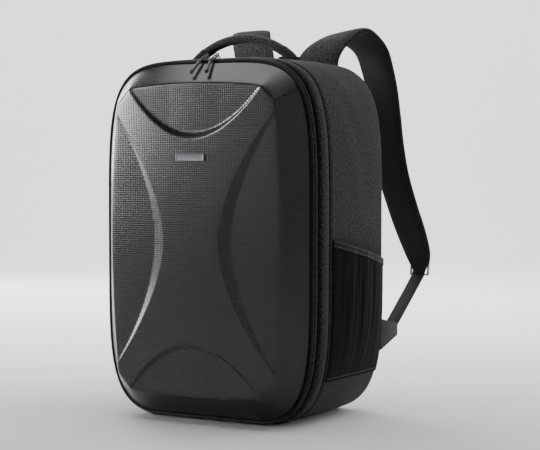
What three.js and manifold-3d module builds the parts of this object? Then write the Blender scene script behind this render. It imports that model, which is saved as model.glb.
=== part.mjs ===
// A hard shell backpack, standing on its flat base. Millimetres, +Z up.
// The moulded shell faces -Y, the wearer's side faces +Y, and the origin is the middle of the base.
// The body is a hollow fabric box whose front is closed by the zipped-on shell.
import * as THREE from "three";
import { mergeVertices } from "three/addons/utils/BufferGeometryUtils.js";
import Module from "manifold-3d";

const wasm = await Module();
wasm.setup();

// Overall size of the fabric body, without the shell's rise and the straps.
const BODY_WIDTH = 326;
const BODY_HEIGHT = 480;
const BODY_DEPTH = 200;
// How square the body's outline is: 2 is an ellipse, and a large number a rectangle.
const OUTLINE_POWER = 4.7;
// The outline's lowest stretch is cut off by this much, which gives the flat foot.
const FOOT_CUT = 3;
// The gap kept between pieces that touch.
const SEAT_GAP = 0.3;
const FRONT_Y = -BODY_DEPTH / 2;
const BACK_Y = BODY_DEPTH / 2;
const MID_Z = BODY_HEIGHT / 2;

// The moulded shell: a raised plateau with cut corners, and a sloping wall down to its edge.
const SHELL_RISE = 39;
const SHELL_WALL = 2.5;
const SHELL_EDGE_INSET = 5;
const SHELL_SLOPE_RUN = 28.5;
// The four bays are pressed in below the cross that is left between them.
const BAY_DEPTH = 3.5;
const SIDE_BAND_WIDTH = 14;
const END_BAND_WIDTH = 9;
// Places on the plateau, as shares of its half width and half height.
const PLATEAU = {
  sideBow: 0.073,
  topBow: 0.03,
  sideCrease: 0.87,
  topCrease: 0.775,
  sideMouth: 0.81,
  sideBayReach: 0.336,
  endBayReach: 0.645,
  sideLipPower: 1.75,
  endLipPower: 2,
};
// Where the two creases of a corner meet the shell's edge, as angles of the outline.
const SIDE_CREASE_ANGLE = THREE.MathUtils.degToRad(38.8);
const TOP_CREASE_ANGLE = THREE.MathUtils.degToRad(65.1);
const SIDE_SPANS = 5;
const CORNER_SPANS = 4;
const TOP_SPANS = 5;

// The blank name plate, and how high its middle sits on the plateau.
const BADGE_WIDTH = 44;
const BADGE_HEIGHT = 9.5;
const BADGE_THICKNESS = 1.8;
const BADGE_CORNER = 1;
const BADGE_UP = 109.5;

// The zip between shell and body, in its recess behind the shell's edge.
const ZIP_DEPTH = 18;
const TAPE_INSET = 6.5;
const TAPE_WALL = 2.5;
const LID_PIPING_RADIUS = 2.3;
const LID_PIPING_BACK = 6.5;
const COIL_BACK = 12.8;
const COIL_WIDTH = 4.4;
const COIL_HEIGHT = 1.8;

// The padded front frame, the seam piping and the gusset that makes the sides, top and base.
const FRAME_DEPTH = 20;
const PANEL_WALL = 4;
const FRAME_LIP = 9;
const FRAME_BULGE = 0.6;
const FRAME_CORNER_INSET = 1.5;
const FRAME_CORNER_DEPTH = 2;
const PIPING_RADIUS = 1.7;
const PIPING_FACETS = 6;
const PIPING_SUNK = 0.6;
const GUSSET_BULGE = 1.5;
const BACK_ROUND = 15;
const BACK_ROUND_SPANS = 4;
const BASE_SEAM_HEIGHT = 57;

// The padded back panel and the piping round it.
const BACK_PANEL_THICKNESS = 10;
const BACK_PANEL_CROWN = 8;
const BACK_PIPING_RADIUS = 2;

// The mesh side pockets with their slanting elastic band.
const POCKET_WALL = 1.6;
const POCKET_GAP = 9;
const POCKET_FRONT_TOP = 243;
const POCKET_BACK_TOP = 211;
const POCKET_SIDE_MARGIN = 2;
const POCKET_BACK_MARGIN = 13;
const POCKET_GATHERS = 5;
const POCKET_GATHER_DEPTH = 1.2;
const POCKET_COLUMNS = 20;
const POCKET_ROWS = 6;
const BAND_HEIGHT = 10;
const BAND_THICKNESS = 2.6;

// The padded carry handle, bowed up over the middle of the top.
const HANDLE_SPAN = 145;
const HANDLE_RISE = 26;
const HANDLE_BACK = 92;
const HANDLE_WIDTH = 18;
const HANDLE_THICKNESS = 13;
const HANDLE_SPANS = 12;
// The arc is drawn this much past its feet before they are cut level.
const HANDLE_OVERRUN = 1.25;
const HANDLE_TAB_LENGTH = 26;
const HANDLE_TAB_THICKNESS = 2.4;

// The shoulder straps. Each row is a section: across from the middle, back from the panel, height, and width.
const STRAP_THICKNESS = 10;
const STRAP_WIDTH = 64;
const STRAP_BOW_DEPTH = 134;
const STRAP_SPREAD_WIDTH = 150;
const STRAP_LOOP_RISE = 54;
const STRAP_END_HEIGHT = 181;
// Where it is twisted most, the right strap's inner edge hangs this far below its outer edge,
// and the left strap's stands a little above it.
const RIGHT_TWIST_DEPTH = 11;
const LEFT_TWIST_HEIGHT = 2;
// across is a share of STRAP_SPREAD_WIDTH, out of STRAP_BOW_DEPTH, width of STRAP_WIDTH, thick of STRAP_THICKNESS
// and twist of the strap's own twist. rise is a share of STRAP_LOOP_RISE above the body's top, and below it
// a share of the way down to the strap's end.
const STRAP_SECTIONS = [
  { across: 0.335, out: 0.0, rise: -0.147, width: 1.03, thick: 1, twist: 0 },
  { across: 0.335, out: 0.0, rise: -0.057, width: 1.03, thick: 1, twist: 0 },
  { across: 0.345, out: 0.012, rise: 0.09, width: 1.03, thick: 1, twist: 0.1 },
  { across: 0.385, out: 0.05, rise: 0.39, width: 1.02, thick: 1, twist: 0.3 },
  { across: 0.45, out: 0.135, rise: 0.68, width: 1.02, thick: 1, twist: 0.65 },
  { across: 0.53, out: 0.28, rise: 0.9, width: 1.0, thick: 1, twist: 0.95 },
  { across: 0.595, out: 0.45, rise: 0.75, width: 0.87, thick: 1, twist: 0.85 },
  { across: 0.64, out: 0.6, rise: 0.41, width: 0.82, thick: 1, twist: 0.4 },
  { across: 0.667, out: 0.68, rise: -0.016, width: 0.8, thick: 1, twist: 0.15 },
  { across: 0.695, out: 0.72, rise: -0.114, width: 0.79, thick: 1, twist: 0 },
  { across: 0.725, out: 0.735, rise: -0.237, width: 0.78, thick: 1, twist: 0 },
  { across: 0.765, out: 0.73, rise: -0.381, width: 0.77, thick: 1, twist: 0 },
  { across: 0.815, out: 0.74, rise: -0.522, width: 0.77, thick: 1, twist: 0 },
  { across: 0.88, out: 0.8, rise: -0.665, width: 0.76, thick: 1, twist: 0 },
  { across: 0.94, out: 0.875, rise: -0.79, width: 0.74, thick: 1, twist: 0 },
  { across: 0.98, out: 0.935, rise: -0.883, width: 0.66, thick: 0.9, twist: 0 },
  { across: 0.995, out: 0.96, rise: -0.937, width: 0.54, thick: 0.7, twist: 0 },
  { across: 1.0, out: 0.955, rise: -0.974, width: 0.36, thick: 0.4, twist: 0 },
  { across: 1.0, out: 0.94, rise: -0.99, width: 0.24, thick: 0.3, twist: 0 },
];

// The strap adjuster, its webbing and the corner tab that anchors the webbing.
const WEBBING_WIDTH = 20;
const WEBBING_THICKNESS = 1.6;
const BUCKLE_WIDTH = 30;
const BUCKLE_LENGTH = 32;
const BUCKLE_THICKNESS = 3.4;
const BUCKLE_BAR = 3;
const BUCKLE_STAND_OFF_DEPTH = 2.5;
const BUCKLE_RAISE_HEIGHT = 9;
const BUCKLE_TILT = THREE.MathUtils.degToRad(15);
const TAB_HEIGHT = 44;
const TAB_REACH_DEPTH = 42;
const TAB_THICKNESS = 2.6;
const TAB_INSET = 2.5;
const TAB_MIDDLE_HEIGHT = 106;

// The two zip sliders and the moulded pulls that hang from them by a wire loop.
const SLIDER_HALF_PITCH = 8;
const SLIDER_LENGTH = 11;
const SLIDER_WIDTH = 7.4;
const SLIDER_HEIGHT = 3.2;
const BRIDGE_RADIUS = 3.4;
const BRIDGE_WIRE = 0.9;
const LOOP_WIRE_RADIUS = 0.95;
const GRIP_LENGTH = 27;
const GRIP_RADIUS = 2.1;
const GRIP_END_RADIUS = 3;
const GRIP_START_INSET = 4;

const vector = (x, y, z) => new THREE.Vector3(x, y, z);

// The angles that every outline is sampled at, with the shell's creases among them.
function outlineAngles() {
  const quarter = [];
  const mouthAngle = SIDE_CREASE_ANGLE * (PLATEAU.sideMouth / PLATEAU.sideCrease) ** (OUTLINE_POWER / 2);
  const stretch = (from, to, spans) => {
    for (let i = 0; i < spans; i++) quarter.push(from + ((to - from) * i) / spans);
  };
  stretch(0, mouthAngle, SIDE_SPANS);
  stretch(mouthAngle, SIDE_CREASE_ANGLE, 1);
  stretch(SIDE_CREASE_ANGLE, TOP_CREASE_ANGLE, CORNER_SPANS);
  stretch(TOP_CREASE_ANGLE, Math.PI / 2, TOP_SPANS);
  const mirrored = quarter.map((angle) => Math.PI - angle).reverse();
  const upper = [...quarter, Math.PI / 2, ...mirrored.slice(0, -1)];
  return [...upper, ...upper.map((angle) => angle + Math.PI)];
}
const ANGLES = outlineAngles();

const powerOf = (value, power) => Math.sign(value) * Math.abs(value) ** power;

// A point of the body's outline, moved out by offset along the outline's own normal.
function outlinePoint(angle, offset) {
  const halfWidth = BODY_WIDTH / 2;
  const halfHeight = (BODY_HEIGHT + FOOT_CUT) / 2;
  const middle = BODY_HEIGHT - halfHeight;
  const x = halfWidth * powerOf(Math.cos(angle), 2 / OUTLINE_POWER);
  const z = halfHeight * powerOf(Math.sin(angle), 2 / OUTLINE_POWER);
  const normal = new THREE.Vector2(
    powerOf(x / halfWidth, OUTLINE_POWER - 1) / halfWidth,
    powerOf(z / halfHeight, OUTLINE_POWER - 1) / halfHeight,
  ).normalize();
  const floor = Math.max(-offset, 0);
  return new THREE.Vector2(x + normal.x * offset, Math.max(middle + z + normal.y * offset, floor));
}

// How far out the body's side is at a height, on the outline itself.
function outlineHalfWidth(height) {
  const halfHeight = (BODY_HEIGHT + FOOT_CUT) / 2;
  const share = Math.abs(height - (BODY_HEIGHT - halfHeight)) / halfHeight;
  return (BODY_WIDTH / 2) * (1 - share ** OUTLINE_POWER) ** (1 / OUTLINE_POWER);
}

// Turns every face outwards if the solid came out inside out.
function facingOut(geometry) {
  const p = geometry.getAttribute("position");
  const index = geometry.index.array;
  const [a, b, c] = [vector(), vector(), vector()];
  let volume = 0;
  for (let i = 0; i < index.length; i += 3) {
    a.fromBufferAttribute(p, index[i]);
    b.fromBufferAttribute(p, index[i + 1]);
    c.fromBufferAttribute(p, index[i + 2]);
    volume += a.dot(b.cross(c));
  }
  if (volume < 0)
    for (let i = 0; i < index.length; i += 3) [index[i + 1], index[i + 2]] = [index[i + 2], index[i + 1]];
  return geometry;
}

function geometryOf(points, index) {
  const geometry = new THREE.BufferGeometry().setFromPoints(points);
  geometry.setIndex(index);
  return facingOut(geometry);
}

// The triangles of a flat polygon, all turned the way its points run. Every point is kept, in-line ones too.
function polygonFaces(flat) {
  const runsBack = THREE.ShapeUtils.area(flat) < 0;
  const order = flat.map((_, i) => (runsBack ? flat.length - 1 - i : i));
  const faces = wasm.triangulate([order.map((i) => [flat[i].x, flat[i].y])]);
  return faces.map(([a, b, c]) => (runsBack ? [order[c], order[b], order[a]] : [order[a], order[b], order[c]]));
}

// A closed solid through rings of points. It joins round on itself, or is capped at its first and last ring.
function solidThrough(rings, joinsRound, flatten) {
  const size = rings[0].length;
  const index = [];
  const spans = joinsRound ? rings.length : rings.length - 1;
  for (let i = 0; i < spans; i++) {
    const next = (i + 1) % rings.length;
    for (let j = 0; j < size; j++) {
      const k = (j + 1) % size;
      index.push(i * size + j, i * size + k, next * size + k);
      index.push(i * size + j, next * size + k, next * size + j);
    }
  }
  if (!joinsRound) {
    const last = (rings.length - 1) * size;
    for (const [a, b, c] of polygonFaces(rings[0].map(flatten))) index.push(a, c, b);
    for (const [a, b, c] of polygonFaces(rings.at(-1).map(flatten))) index.push(last + a, last + b, last + c);
  }
  return geometryOf(rings.flat(), index);
}

// A band that runs all the way round the body. Its section is a list of { offset, y }.
function roundTheBody(section) {
  const rings = ANGLES.map((angle) =>
    section.map(({ offset, y }) => {
      const p = outlinePoint(angle, offset);
      return vector(p.x, y, p.y);
    }),
  );
  return solidThrough(rings, true);
}

// The faceted section of a piping.
function beadSection(offset, y, radius) {
  return Array.from({ length: PIPING_FACETS }, (_, i) => {
    const turn = ((i + 0.5) * 2 * Math.PI) / PIPING_FACETS;
    return { offset: offset + radius * Math.cos(turn), y: y + radius * Math.sin(turn) };
  });
}

// Manifold solids, for what needs a cut or a join.
function manifoldOf(geometry) {
  const bare = geometry.index ? geometry.clone() : mergeVertices(geometry);
  bare.deleteAttribute("normal");
  bare.deleteAttribute("uv");
  const merged = mergeVertices(bare, 1e-4);
  return new wasm.Manifold(
    new wasm.Mesh({
      numProp: 3,
      vertProperties: merged.getAttribute("position").array,
      triVerts: new Uint32Array(merged.index.array),
    }),
  );
}

function geometryFrom(solid) {
  const mesh = solid.getMesh();
  const geometry = new THREE.BufferGeometry();
  geometry.setAttribute("position", new THREE.BufferAttribute(new Float32Array(mesh.vertProperties), 3));
  geometry.setIndex(new THREE.BufferAttribute(new Uint32Array(mesh.triVerts), 1));
  return geometry;
}

const COLOURS = {
  shell: { color: 0x1c1c1d, roughness: 0.3, metalness: 0.1 },
  fabric: { color: 0x2e2d2e, roughness: 0.95, metalness: 0 },
  trim: { color: 0x111112, roughness: 0.85, metalness: 0 },
  mesh: { color: 0x151516, roughness: 0.9, metalness: 0 },
  padding: { color: 0x262526, roughness: 0.95, metalness: 0 },
  metal: { color: 0x8d8e90, roughness: 0.35, metalness: 0.9 },
  rubber: { color: 0x161617, roughness: 0.5, metalness: 0 },
};
const backpack = new THREE.Group();

function addPiece(name, geometry, finish) {
  const piece = new THREE.Mesh(geometry, new THREE.MeshStandardMaterial(COLOURS[finish]));
  piece.name = name;
  backpack.add(piece);
  return piece;
}

// The same form on the other side of the body.
function mirrored(geometry) {
  const other = geometry.clone().scale(-1, 1, 1);
  if (!other.index) other.setIndex([...Array(other.getAttribute("position").count).keys()]);
  return facingOut(other);
}

// Pieces that come in pairs are made on the right, and mirrored for the left.
function addPair(name, geometry, finish) {
  addPiece(`${name}_right`, geometry, finish);
  addPiece(`${name}_left`, mirrored(geometry), finish);
}

// The plateau's edge. Its half sizes are the shell edge's, less the run of the sloping wall.
const EDGE_HALF_WIDTH = BODY_WIDTH / 2 - SHELL_EDGE_INSET;
const EDGE_HALF_HEIGHT = BODY_HEIGHT / 2 - SHELL_EDGE_INSET;
const PLATEAU_HALF_WIDTH = EDGE_HALF_WIDTH - SHELL_SLOPE_RUN;
const PLATEAU_HALF_HEIGHT = EDGE_HALF_HEIGHT - SHELL_SLOPE_RUN;

const sideEdgeX = (z) =>
  PLATEAU_HALF_WIDTH * (1 - PLATEAU.sideBow * (z / (PLATEAU.sideCrease * PLATEAU_HALF_HEIGHT)) ** 2);
const topEdgeZ = (x) =>
  PLATEAU_HALF_HEIGHT * (1 - PLATEAU.topBow * (x / (PLATEAU.topCrease * PLATEAU_HALF_WIDTH)) ** 2);

// A point of the plateau's edge at an outline angle, measured from the plateau's middle, and what it belongs to.
function plateauEdge(angle) {
  const across = Math.abs(Math.cos(angle));
  const up = Math.abs(Math.sin(angle));
  const turn = Math.atan2(up, across);
  const creaseX = PLATEAU.topCrease * PLATEAU_HALF_WIDTH;
  const creaseZ = PLATEAU.sideCrease * PLATEAU_HALF_HEIGHT;
  const power = 2 / OUTLINE_POWER;
  let x;
  let z;
  if (turn <= SIDE_CREASE_ANGLE) {
    z = creaseZ * (up / Math.sin(SIDE_CREASE_ANGLE)) ** power;
    x = sideEdgeX(z);
  } else if (turn >= TOP_CREASE_ANGLE) {
    x = creaseX * (across / Math.cos(TOP_CREASE_ANGLE)) ** power;
    z = topEdgeZ(x);
  } else {
    const share = (turn - SIDE_CREASE_ANGLE) / (TOP_CREASE_ANGLE - SIDE_CREASE_ANGLE);
    x = THREE.MathUtils.lerp(sideEdgeX(creaseZ), creaseX, share);
    z = THREE.MathUtils.lerp(creaseZ, topEdgeZ(creaseX), share);
  }
  return new THREE.Vector2(x * Math.sign(Math.cos(angle)), z * Math.sign(Math.sin(angle)));
}

// The four bays, as runs of outline points from one mouth corner to the other.
const QUARTER = ANGLES.length / 4;
const MOUTH_STEP = SIDE_SPANS;
const TOP_CREASE_STEP = SIDE_SPANS + 1 + CORNER_SPANS;
const BAYS = [
  { middle: 0, reachSteps: MOUTH_STEP, side: true },
  { middle: QUARTER, reachSteps: QUARTER - TOP_CREASE_STEP, side: false },
  { middle: 2 * QUARTER, reachSteps: MOUTH_STEP, side: true },
  { middle: 3 * QUARTER, reachSteps: QUARTER - TOP_CREASE_STEP, side: false },
];

// The curve that bounds a bay towards the middle: the upper lip of its band, or the foot of the band.
function bayCurve(bay, mouth, reach, power) {
  const middle = plateauEdge(ANGLES[bay.middle]);
  return (share) => {
    const grows = Math.abs(share) ** power;
    if (bay.side) {
      const x = Math.sign(middle.x) * THREE.MathUtils.lerp(reach, Math.abs(mouth.x), grows);
      return new THREE.Vector2(x, Math.abs(mouth.y) * share);
    }
    const z = Math.sign(middle.y) * THREE.MathUtils.lerp(reach, Math.abs(mouth.y), grows);
    return new THREE.Vector2(Math.abs(mouth.x) * share, z);
  };
}

// The solid form of the shell, shrunk inwards all over by wall and carried back to backY.
function shellForm(wall, backY) {
  const slope = Math.hypot(SHELL_SLOPE_RUN, SHELL_RISE);
  const edgeShift = (wall * slope) / SHELL_RISE;
  const topShift = edgeShift - (wall * SHELL_SLOPE_RUN) / SHELL_RISE;
  const crestY = FRONT_Y - SHELL_RISE + wall;
  const floorY = crestY + BAY_DEPTH;
  const count = ANGLES.length;
  const inBay = (i) => BAYS.some((bay) => {
    const steps = Math.abs(((i - bay.middle + 1.5 * count) % count) - count / 2);
    return steps < bay.reachSteps;
  });
  const points = [];
  const put = (x, y, z) => points.push(vector(x, y, z)) - 1;
  const backRing = [];
  const edgeRing = [];
  const topRing = [];
  ANGLES.forEach((angle, i) => {
    const edge = outlinePoint(angle, -SHELL_EDGE_INSET - edgeShift);
    const top = plateauEdge(angle);
    backRing.push(put(edge.x, backY, edge.y));
    if (backY > FRONT_Y) edgeRing.push(put(edge.x, FRONT_Y, edge.y));
    const shrink = 1 - topShift / top.length();
    topRing.push(put(top.x * shrink, inBay(i) ? floorY : crestY, MID_Z + top.y * shrink));
  });
  const index = [];
  const wallBetween = (lower, upper) => {
    for (let i = 0; i < count; i++) {
      const next = (i + 1) % count;
      index.push(lower[i], lower[next], upper[next], lower[i], upper[next], upper[i]);
    }
  };
  if (edgeRing.length) {
    wallBetween(backRing, edgeRing);
    wallBetween(edgeRing, topRing);
  } else wallBetween(backRing, topRing);
  const flat = (id) => new THREE.Vector2(points[id].x, points[id].z);
  const cover = (ids) => {
    for (const [a, b, c] of polygonFaces(ids.map(flat))) index.push(ids[a], ids[b], ids[c]);
  };
  for (const [a, b, c] of polygonFaces(backRing.map(flat))) index.push(backRing[a], backRing[c], backRing[b]);

  const island = [];
  BAYS.forEach((bay, b) => {
    const first = (bay.middle - bay.reachSteps + count) % count;
    const last = (bay.middle + bay.reachSteps) % count;
    const mouth = plateauEdge(ANGLES[last]);
    const half = bay.side ? PLATEAU_HALF_WIDTH : PLATEAU_HALF_HEIGHT;
    const reach = half * (bay.side ? PLATEAU.sideBayReach : PLATEAU.endBayReach);
    const band = bay.side ? SIDE_BAND_WIDTH : END_BAND_WIDTH;
    const power = bay.side ? PLATEAU.sideLipPower : PLATEAU.endLipPower;
    const lip = bayCurve(bay, mouth, reach, power);
    const foot = bayCurve(bay, mouth, reach + band, power);
    const steps = 2 * bay.reachSteps + 2;
    const turned = b >= 2 ? -1 : 1;
    const runs = bay.side ? turned : -turned;
    const lipRow = [topRing[first]];
    const footRow = [topRing[first]];
    for (let i = 1; i < steps; i++) {
      const share = runs * ((2 * i) / steps - 1);
      const onLip = lip(share);
      const onFoot = foot(share);
      lipRow.push(put(onLip.x, crestY, MID_Z + onLip.y));
      footRow.push(put(onFoot.x, floorY, MID_Z + onFoot.y));
    }
    lipRow.push(topRing[last]);
    footRow.push(topRing[last]);
    for (let i = 0; i < steps; i++) {
      const strip = [lipRow[i], footRow[i], footRow[i + 1], lipRow[i + 1]];
      if (strip[0] !== strip[1]) index.push(strip[0], strip[1], strip[2]);
      if (strip[2] !== strip[3]) index.push(strip[0], strip[2], strip[3]);
    }
    const outer = [];
    for (let i = 0; i <= 2 * bay.reachSteps; i++) outer.push(topRing[(first + i) % count]);
    cover([...outer, ...footRow.slice(1, -1).reverse()]);
    island.push(...lipRow);
    const nextFirst = (BAYS[(b + 1) % 4].middle - BAYS[(b + 1) % 4].reachSteps + count) % count;
    for (let i = (last + 1) % count; i !== nextFirst; i = (i + 1) % count) island.push(topRing[i]);
  });
  cover(island);
  return manifoldOf(geometryOf(points, index));
}

function addShell() {
  const outside = shellForm(0, FRONT_Y);
  const inside = shellForm(SHELL_WALL, FRONT_Y + SHELL_WALL);
  addPiece("shell", geometryFrom(outside.subtract(inside)), "shell");
}

function addBadge() {
  const [halfWidth, halfHeight, corner] = [BADGE_WIDTH / 2, BADGE_HEIGHT / 2, BADGE_CORNER];
  const face = new THREE.Shape();
  face.moveTo(halfWidth, corner - halfHeight);
  face.lineTo(halfWidth, halfHeight - corner);
  face.absarc(halfWidth - corner, halfHeight - corner, corner, 0, Math.PI / 2);
  face.absarc(corner - halfWidth, halfHeight - corner, corner, Math.PI / 2, Math.PI);
  face.absarc(corner - halfWidth, corner - halfHeight, corner, Math.PI, 1.5 * Math.PI);
  face.absarc(halfWidth - corner, corner - halfHeight, corner, 1.5 * Math.PI, 2 * Math.PI);
  const plate = new THREE.ExtrudeGeometry(face, { depth: BADGE_THICKNESS, bevelEnabled: false, curveSegments: 2 });
  const badge = addPiece("badge", plate, "metal");
  badge.rotation.x = Math.PI / 2;
  badge.position.set(0, FRONT_Y - SHELL_RISE - SEAT_GAP, MID_Z + BADGE_UP);
}

function addZip() {
  const tapeFront = FRONT_Y + SEAT_GAP;
  const tapeBack = FRONT_Y + ZIP_DEPTH - SEAT_GAP;
  const tape = [
    { offset: -TAPE_INSET, y: tapeFront },
    { offset: -TAPE_INSET, y: tapeBack },
    { offset: -TAPE_INSET - TAPE_WALL, y: tapeBack },
    { offset: -TAPE_INSET - TAPE_WALL, y: tapeFront },
  ];
  addPiece("zip_tape", roundTheBody(tape), "trim");
  const bead = beadSection(SEAT_GAP + LID_PIPING_RADIUS - TAPE_INSET, FRONT_Y + LID_PIPING_BACK, LID_PIPING_RADIUS);
  addPiece("lid_piping", roundTheBody(bead), "fabric");
  const coilFoot = SEAT_GAP - TAPE_INSET;
  const coilY = FRONT_Y + COIL_BACK;
  const coil = [
    { offset: coilFoot, y: coilY - COIL_WIDTH / 2 },
    { offset: coilFoot + COIL_HEIGHT, y: coilY - COIL_WIDTH / 4 },
    { offset: coilFoot + COIL_HEIGHT, y: coilY + COIL_WIDTH / 4 },
    { offset: coilFoot, y: coilY + COIL_WIDTH / 2 },
  ];
  addPiece("zip_coil", roundTheBody(coil), "trim");
}

const FRAME_FRONT = FRONT_Y + ZIP_DEPTH;
const FRAME_BACK = FRAME_FRONT + FRAME_DEPTH;
const PIPING_Y = FRAME_BACK + SEAT_GAP + PIPING_RADIUS;
const GUSSET_FRONT = PIPING_Y + PIPING_RADIUS + SEAT_GAP;
const BACK_PIPING_Y = BACK_Y - BACK_PIPING_RADIUS;
const GUSSET_BACK = BACK_PIPING_Y;

function addFrontFrame() {
  const section = [
    { offset: -FRAME_CORNER_INSET, y: FRAME_FRONT },
    { offset: 0, y: FRAME_FRONT + FRAME_CORNER_DEPTH },
    { offset: FRAME_BULGE, y: FRAME_FRONT + FRAME_DEPTH / 2 },
    { offset: 0, y: FRAME_BACK },
    { offset: -PANEL_WALL, y: FRAME_BACK },
    { offset: -PANEL_WALL, y: FRAME_FRONT + FRAME_DEPTH / 3 },
    { offset: -FRAME_LIP, y: FRAME_FRONT },
  ];
  addPiece("front_frame", roundTheBody(section), "fabric");
  addPiece("seam_piping", roundTheBody(beadSection(-PIPING_SUNK, PIPING_Y, PIPING_RADIUS)), "fabric");
}

// The gusset's outside: a slight belly, then a quarter round into the back.
function gussetOffset(y) {
  const straightEnd = GUSSET_BACK - BACK_ROUND;
  if (y >= straightEnd) {
    const share = Math.min((y - straightEnd) / BACK_ROUND, 1);
    return -BACK_ROUND * (1 - Math.sqrt(1 - share * share));
  }
  const along = (y - GUSSET_FRONT) / (straightEnd - GUSSET_FRONT);
  return GUSSET_BULGE * Math.sin(Math.PI * along);
}

function addGusset() {
  const straightEnd = GUSSET_BACK - BACK_ROUND;
  const outside = [0, 0.25, 0.5, 0.75].map((share) => {
    const y = THREE.MathUtils.lerp(GUSSET_FRONT, straightEnd, share);
    return { offset: gussetOffset(y), y };
  });
  const round = (radius) =>
    Array.from({ length: BACK_ROUND_SPANS + 1 }, (_, i) => {
      const turn = ((i / BACK_ROUND_SPANS) * Math.PI) / 2;
      return { offset: radius * Math.cos(turn) - BACK_ROUND, y: straightEnd + radius * Math.sin(turn) };
    });
  const inside = round(BACK_ROUND - PANEL_WALL).reverse();
  const section = [...outside, ...round(BACK_ROUND), ...inside, { offset: -PANEL_WALL, y: GUSSET_FRONT }];
  const whole = manifoldOf(roundTheBody(section));
  const size = 2 * (BODY_WIDTH + BODY_DEPTH + BODY_HEIGHT);
  const above = new THREE.BoxGeometry(size, size, size).translate(0, 0, BASE_SEAM_HEIGHT + SEAT_GAP / 2 + size / 2);
  const below = new THREE.BoxGeometry(size, size, size).translate(0, 0, BASE_SEAM_HEIGHT - SEAT_GAP / 2 - size / 2);
  addPiece("gusset", geometryFrom(whole.intersect(manifoldOf(above))), "fabric");
  addPiece("base_panel", geometryFrom(whole.intersect(manifoldOf(below))), "fabric");
}

function addBack() {
  const pipingOffset = -BACK_ROUND - BACK_PIPING_RADIUS - SEAT_GAP + PANEL_WALL / 2;
  const bead = beadSection(pipingOffset - PANEL_WALL / 2, BACK_PIPING_Y - BACK_PIPING_RADIUS, BACK_PIPING_RADIUS);
  addPiece("back_piping", roundTheBody(bead), "fabric");
  const edge = pipingOffset - PANEL_WALL / 2 - BACK_PIPING_RADIUS - SEAT_GAP;
  const rows = [
    { offset: edge, y: BACK_Y - BACK_PANEL_THICKNESS },
    { offset: edge, y: BACK_Y - BACK_PANEL_THICKNESS / 2 },
    { offset: edge - BACK_PANEL_CROWN / 3, y: BACK_Y - BACK_PANEL_THICKNESS / 6 },
    { offset: edge - BACK_PANEL_CROWN, y: BACK_Y },
  ];
  const rings = rows.map(({ offset, y }) =>
    ANGLES.map((angle) => {
      const p = outlinePoint(angle, offset);
      return vector(p.x, y, p.y);
    }),
  );
  addPiece("back_panel", solidThrough(rings, false, (p) => new THREE.Vector2(p.x, p.z)), "padding");
}

// A side pocket. Its front and back edges lie on the gusset, and between them it stands off and is gathered.
const POCKET_FRONT = GUSSET_FRONT + POCKET_SIDE_MARGIN;
const POCKET_BACK = BACK_Y - POCKET_BACK_MARGIN;

function pocketTop(share) {
  return THREE.MathUtils.lerp(POCKET_FRONT_TOP, POCKET_BACK_TOP, share);
}

function pocketInside(share, height) {
  const y = THREE.MathUtils.lerp(POCKET_FRONT, POCKET_BACK, share);
  const up = (height - BASE_SEAM_HEIGHT) / (pocketTop(share) - BASE_SEAM_HEIGHT);
  const across = Math.sin(Math.PI * share) ** 0.7;
  const gap = POCKET_GAP * across * (1 - (1 - up) ** 3);
  const ripple = POCKET_GATHER_DEPTH * across * up * Math.cos(2 * Math.PI * POCKET_GATHERS * share);
  const x = outlineHalfWidth(height) + gussetOffset(y) + 2 * SEAT_GAP + gap + Math.max(ripple, -gap / 2);
  return vector(x, y, height);
}

function pocketSolid(fromHeight, toHeight, rows, thickness) {
  const rings = [];
  for (let i = 0; i <= POCKET_COLUMNS; i++) {
    const share = i / POCKET_COLUMNS;
    const inside = [];
    for (let j = 0; j <= rows; j++)
      inside.push(pocketInside(share, THREE.MathUtils.lerp(fromHeight(share), toHeight(share), j / rows)));
    const outside = inside.map((p) => vector(p.x + thickness, p.y, p.z)).reverse();
    rings.push([...inside, ...outside]);
  }
  return solidThrough(rings, false, (p) => new THREE.Vector2(p.x, p.z));
}

function addPockets() {
  const bandFoot = (share) => pocketTop(share) - BAND_HEIGHT;
  const mesh = pocketSolid(
    () => BASE_SEAM_HEIGHT,
    (share) => bandFoot(share) - SEAT_GAP,
    POCKET_ROWS,
    POCKET_WALL,
  );
  addPair("pocket_mesh", mesh, "mesh");
  addPair("pocket_band", pocketSolid(bandFoot, pocketTop, 1, BAND_THICKNESS), "trim");
}

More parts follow.
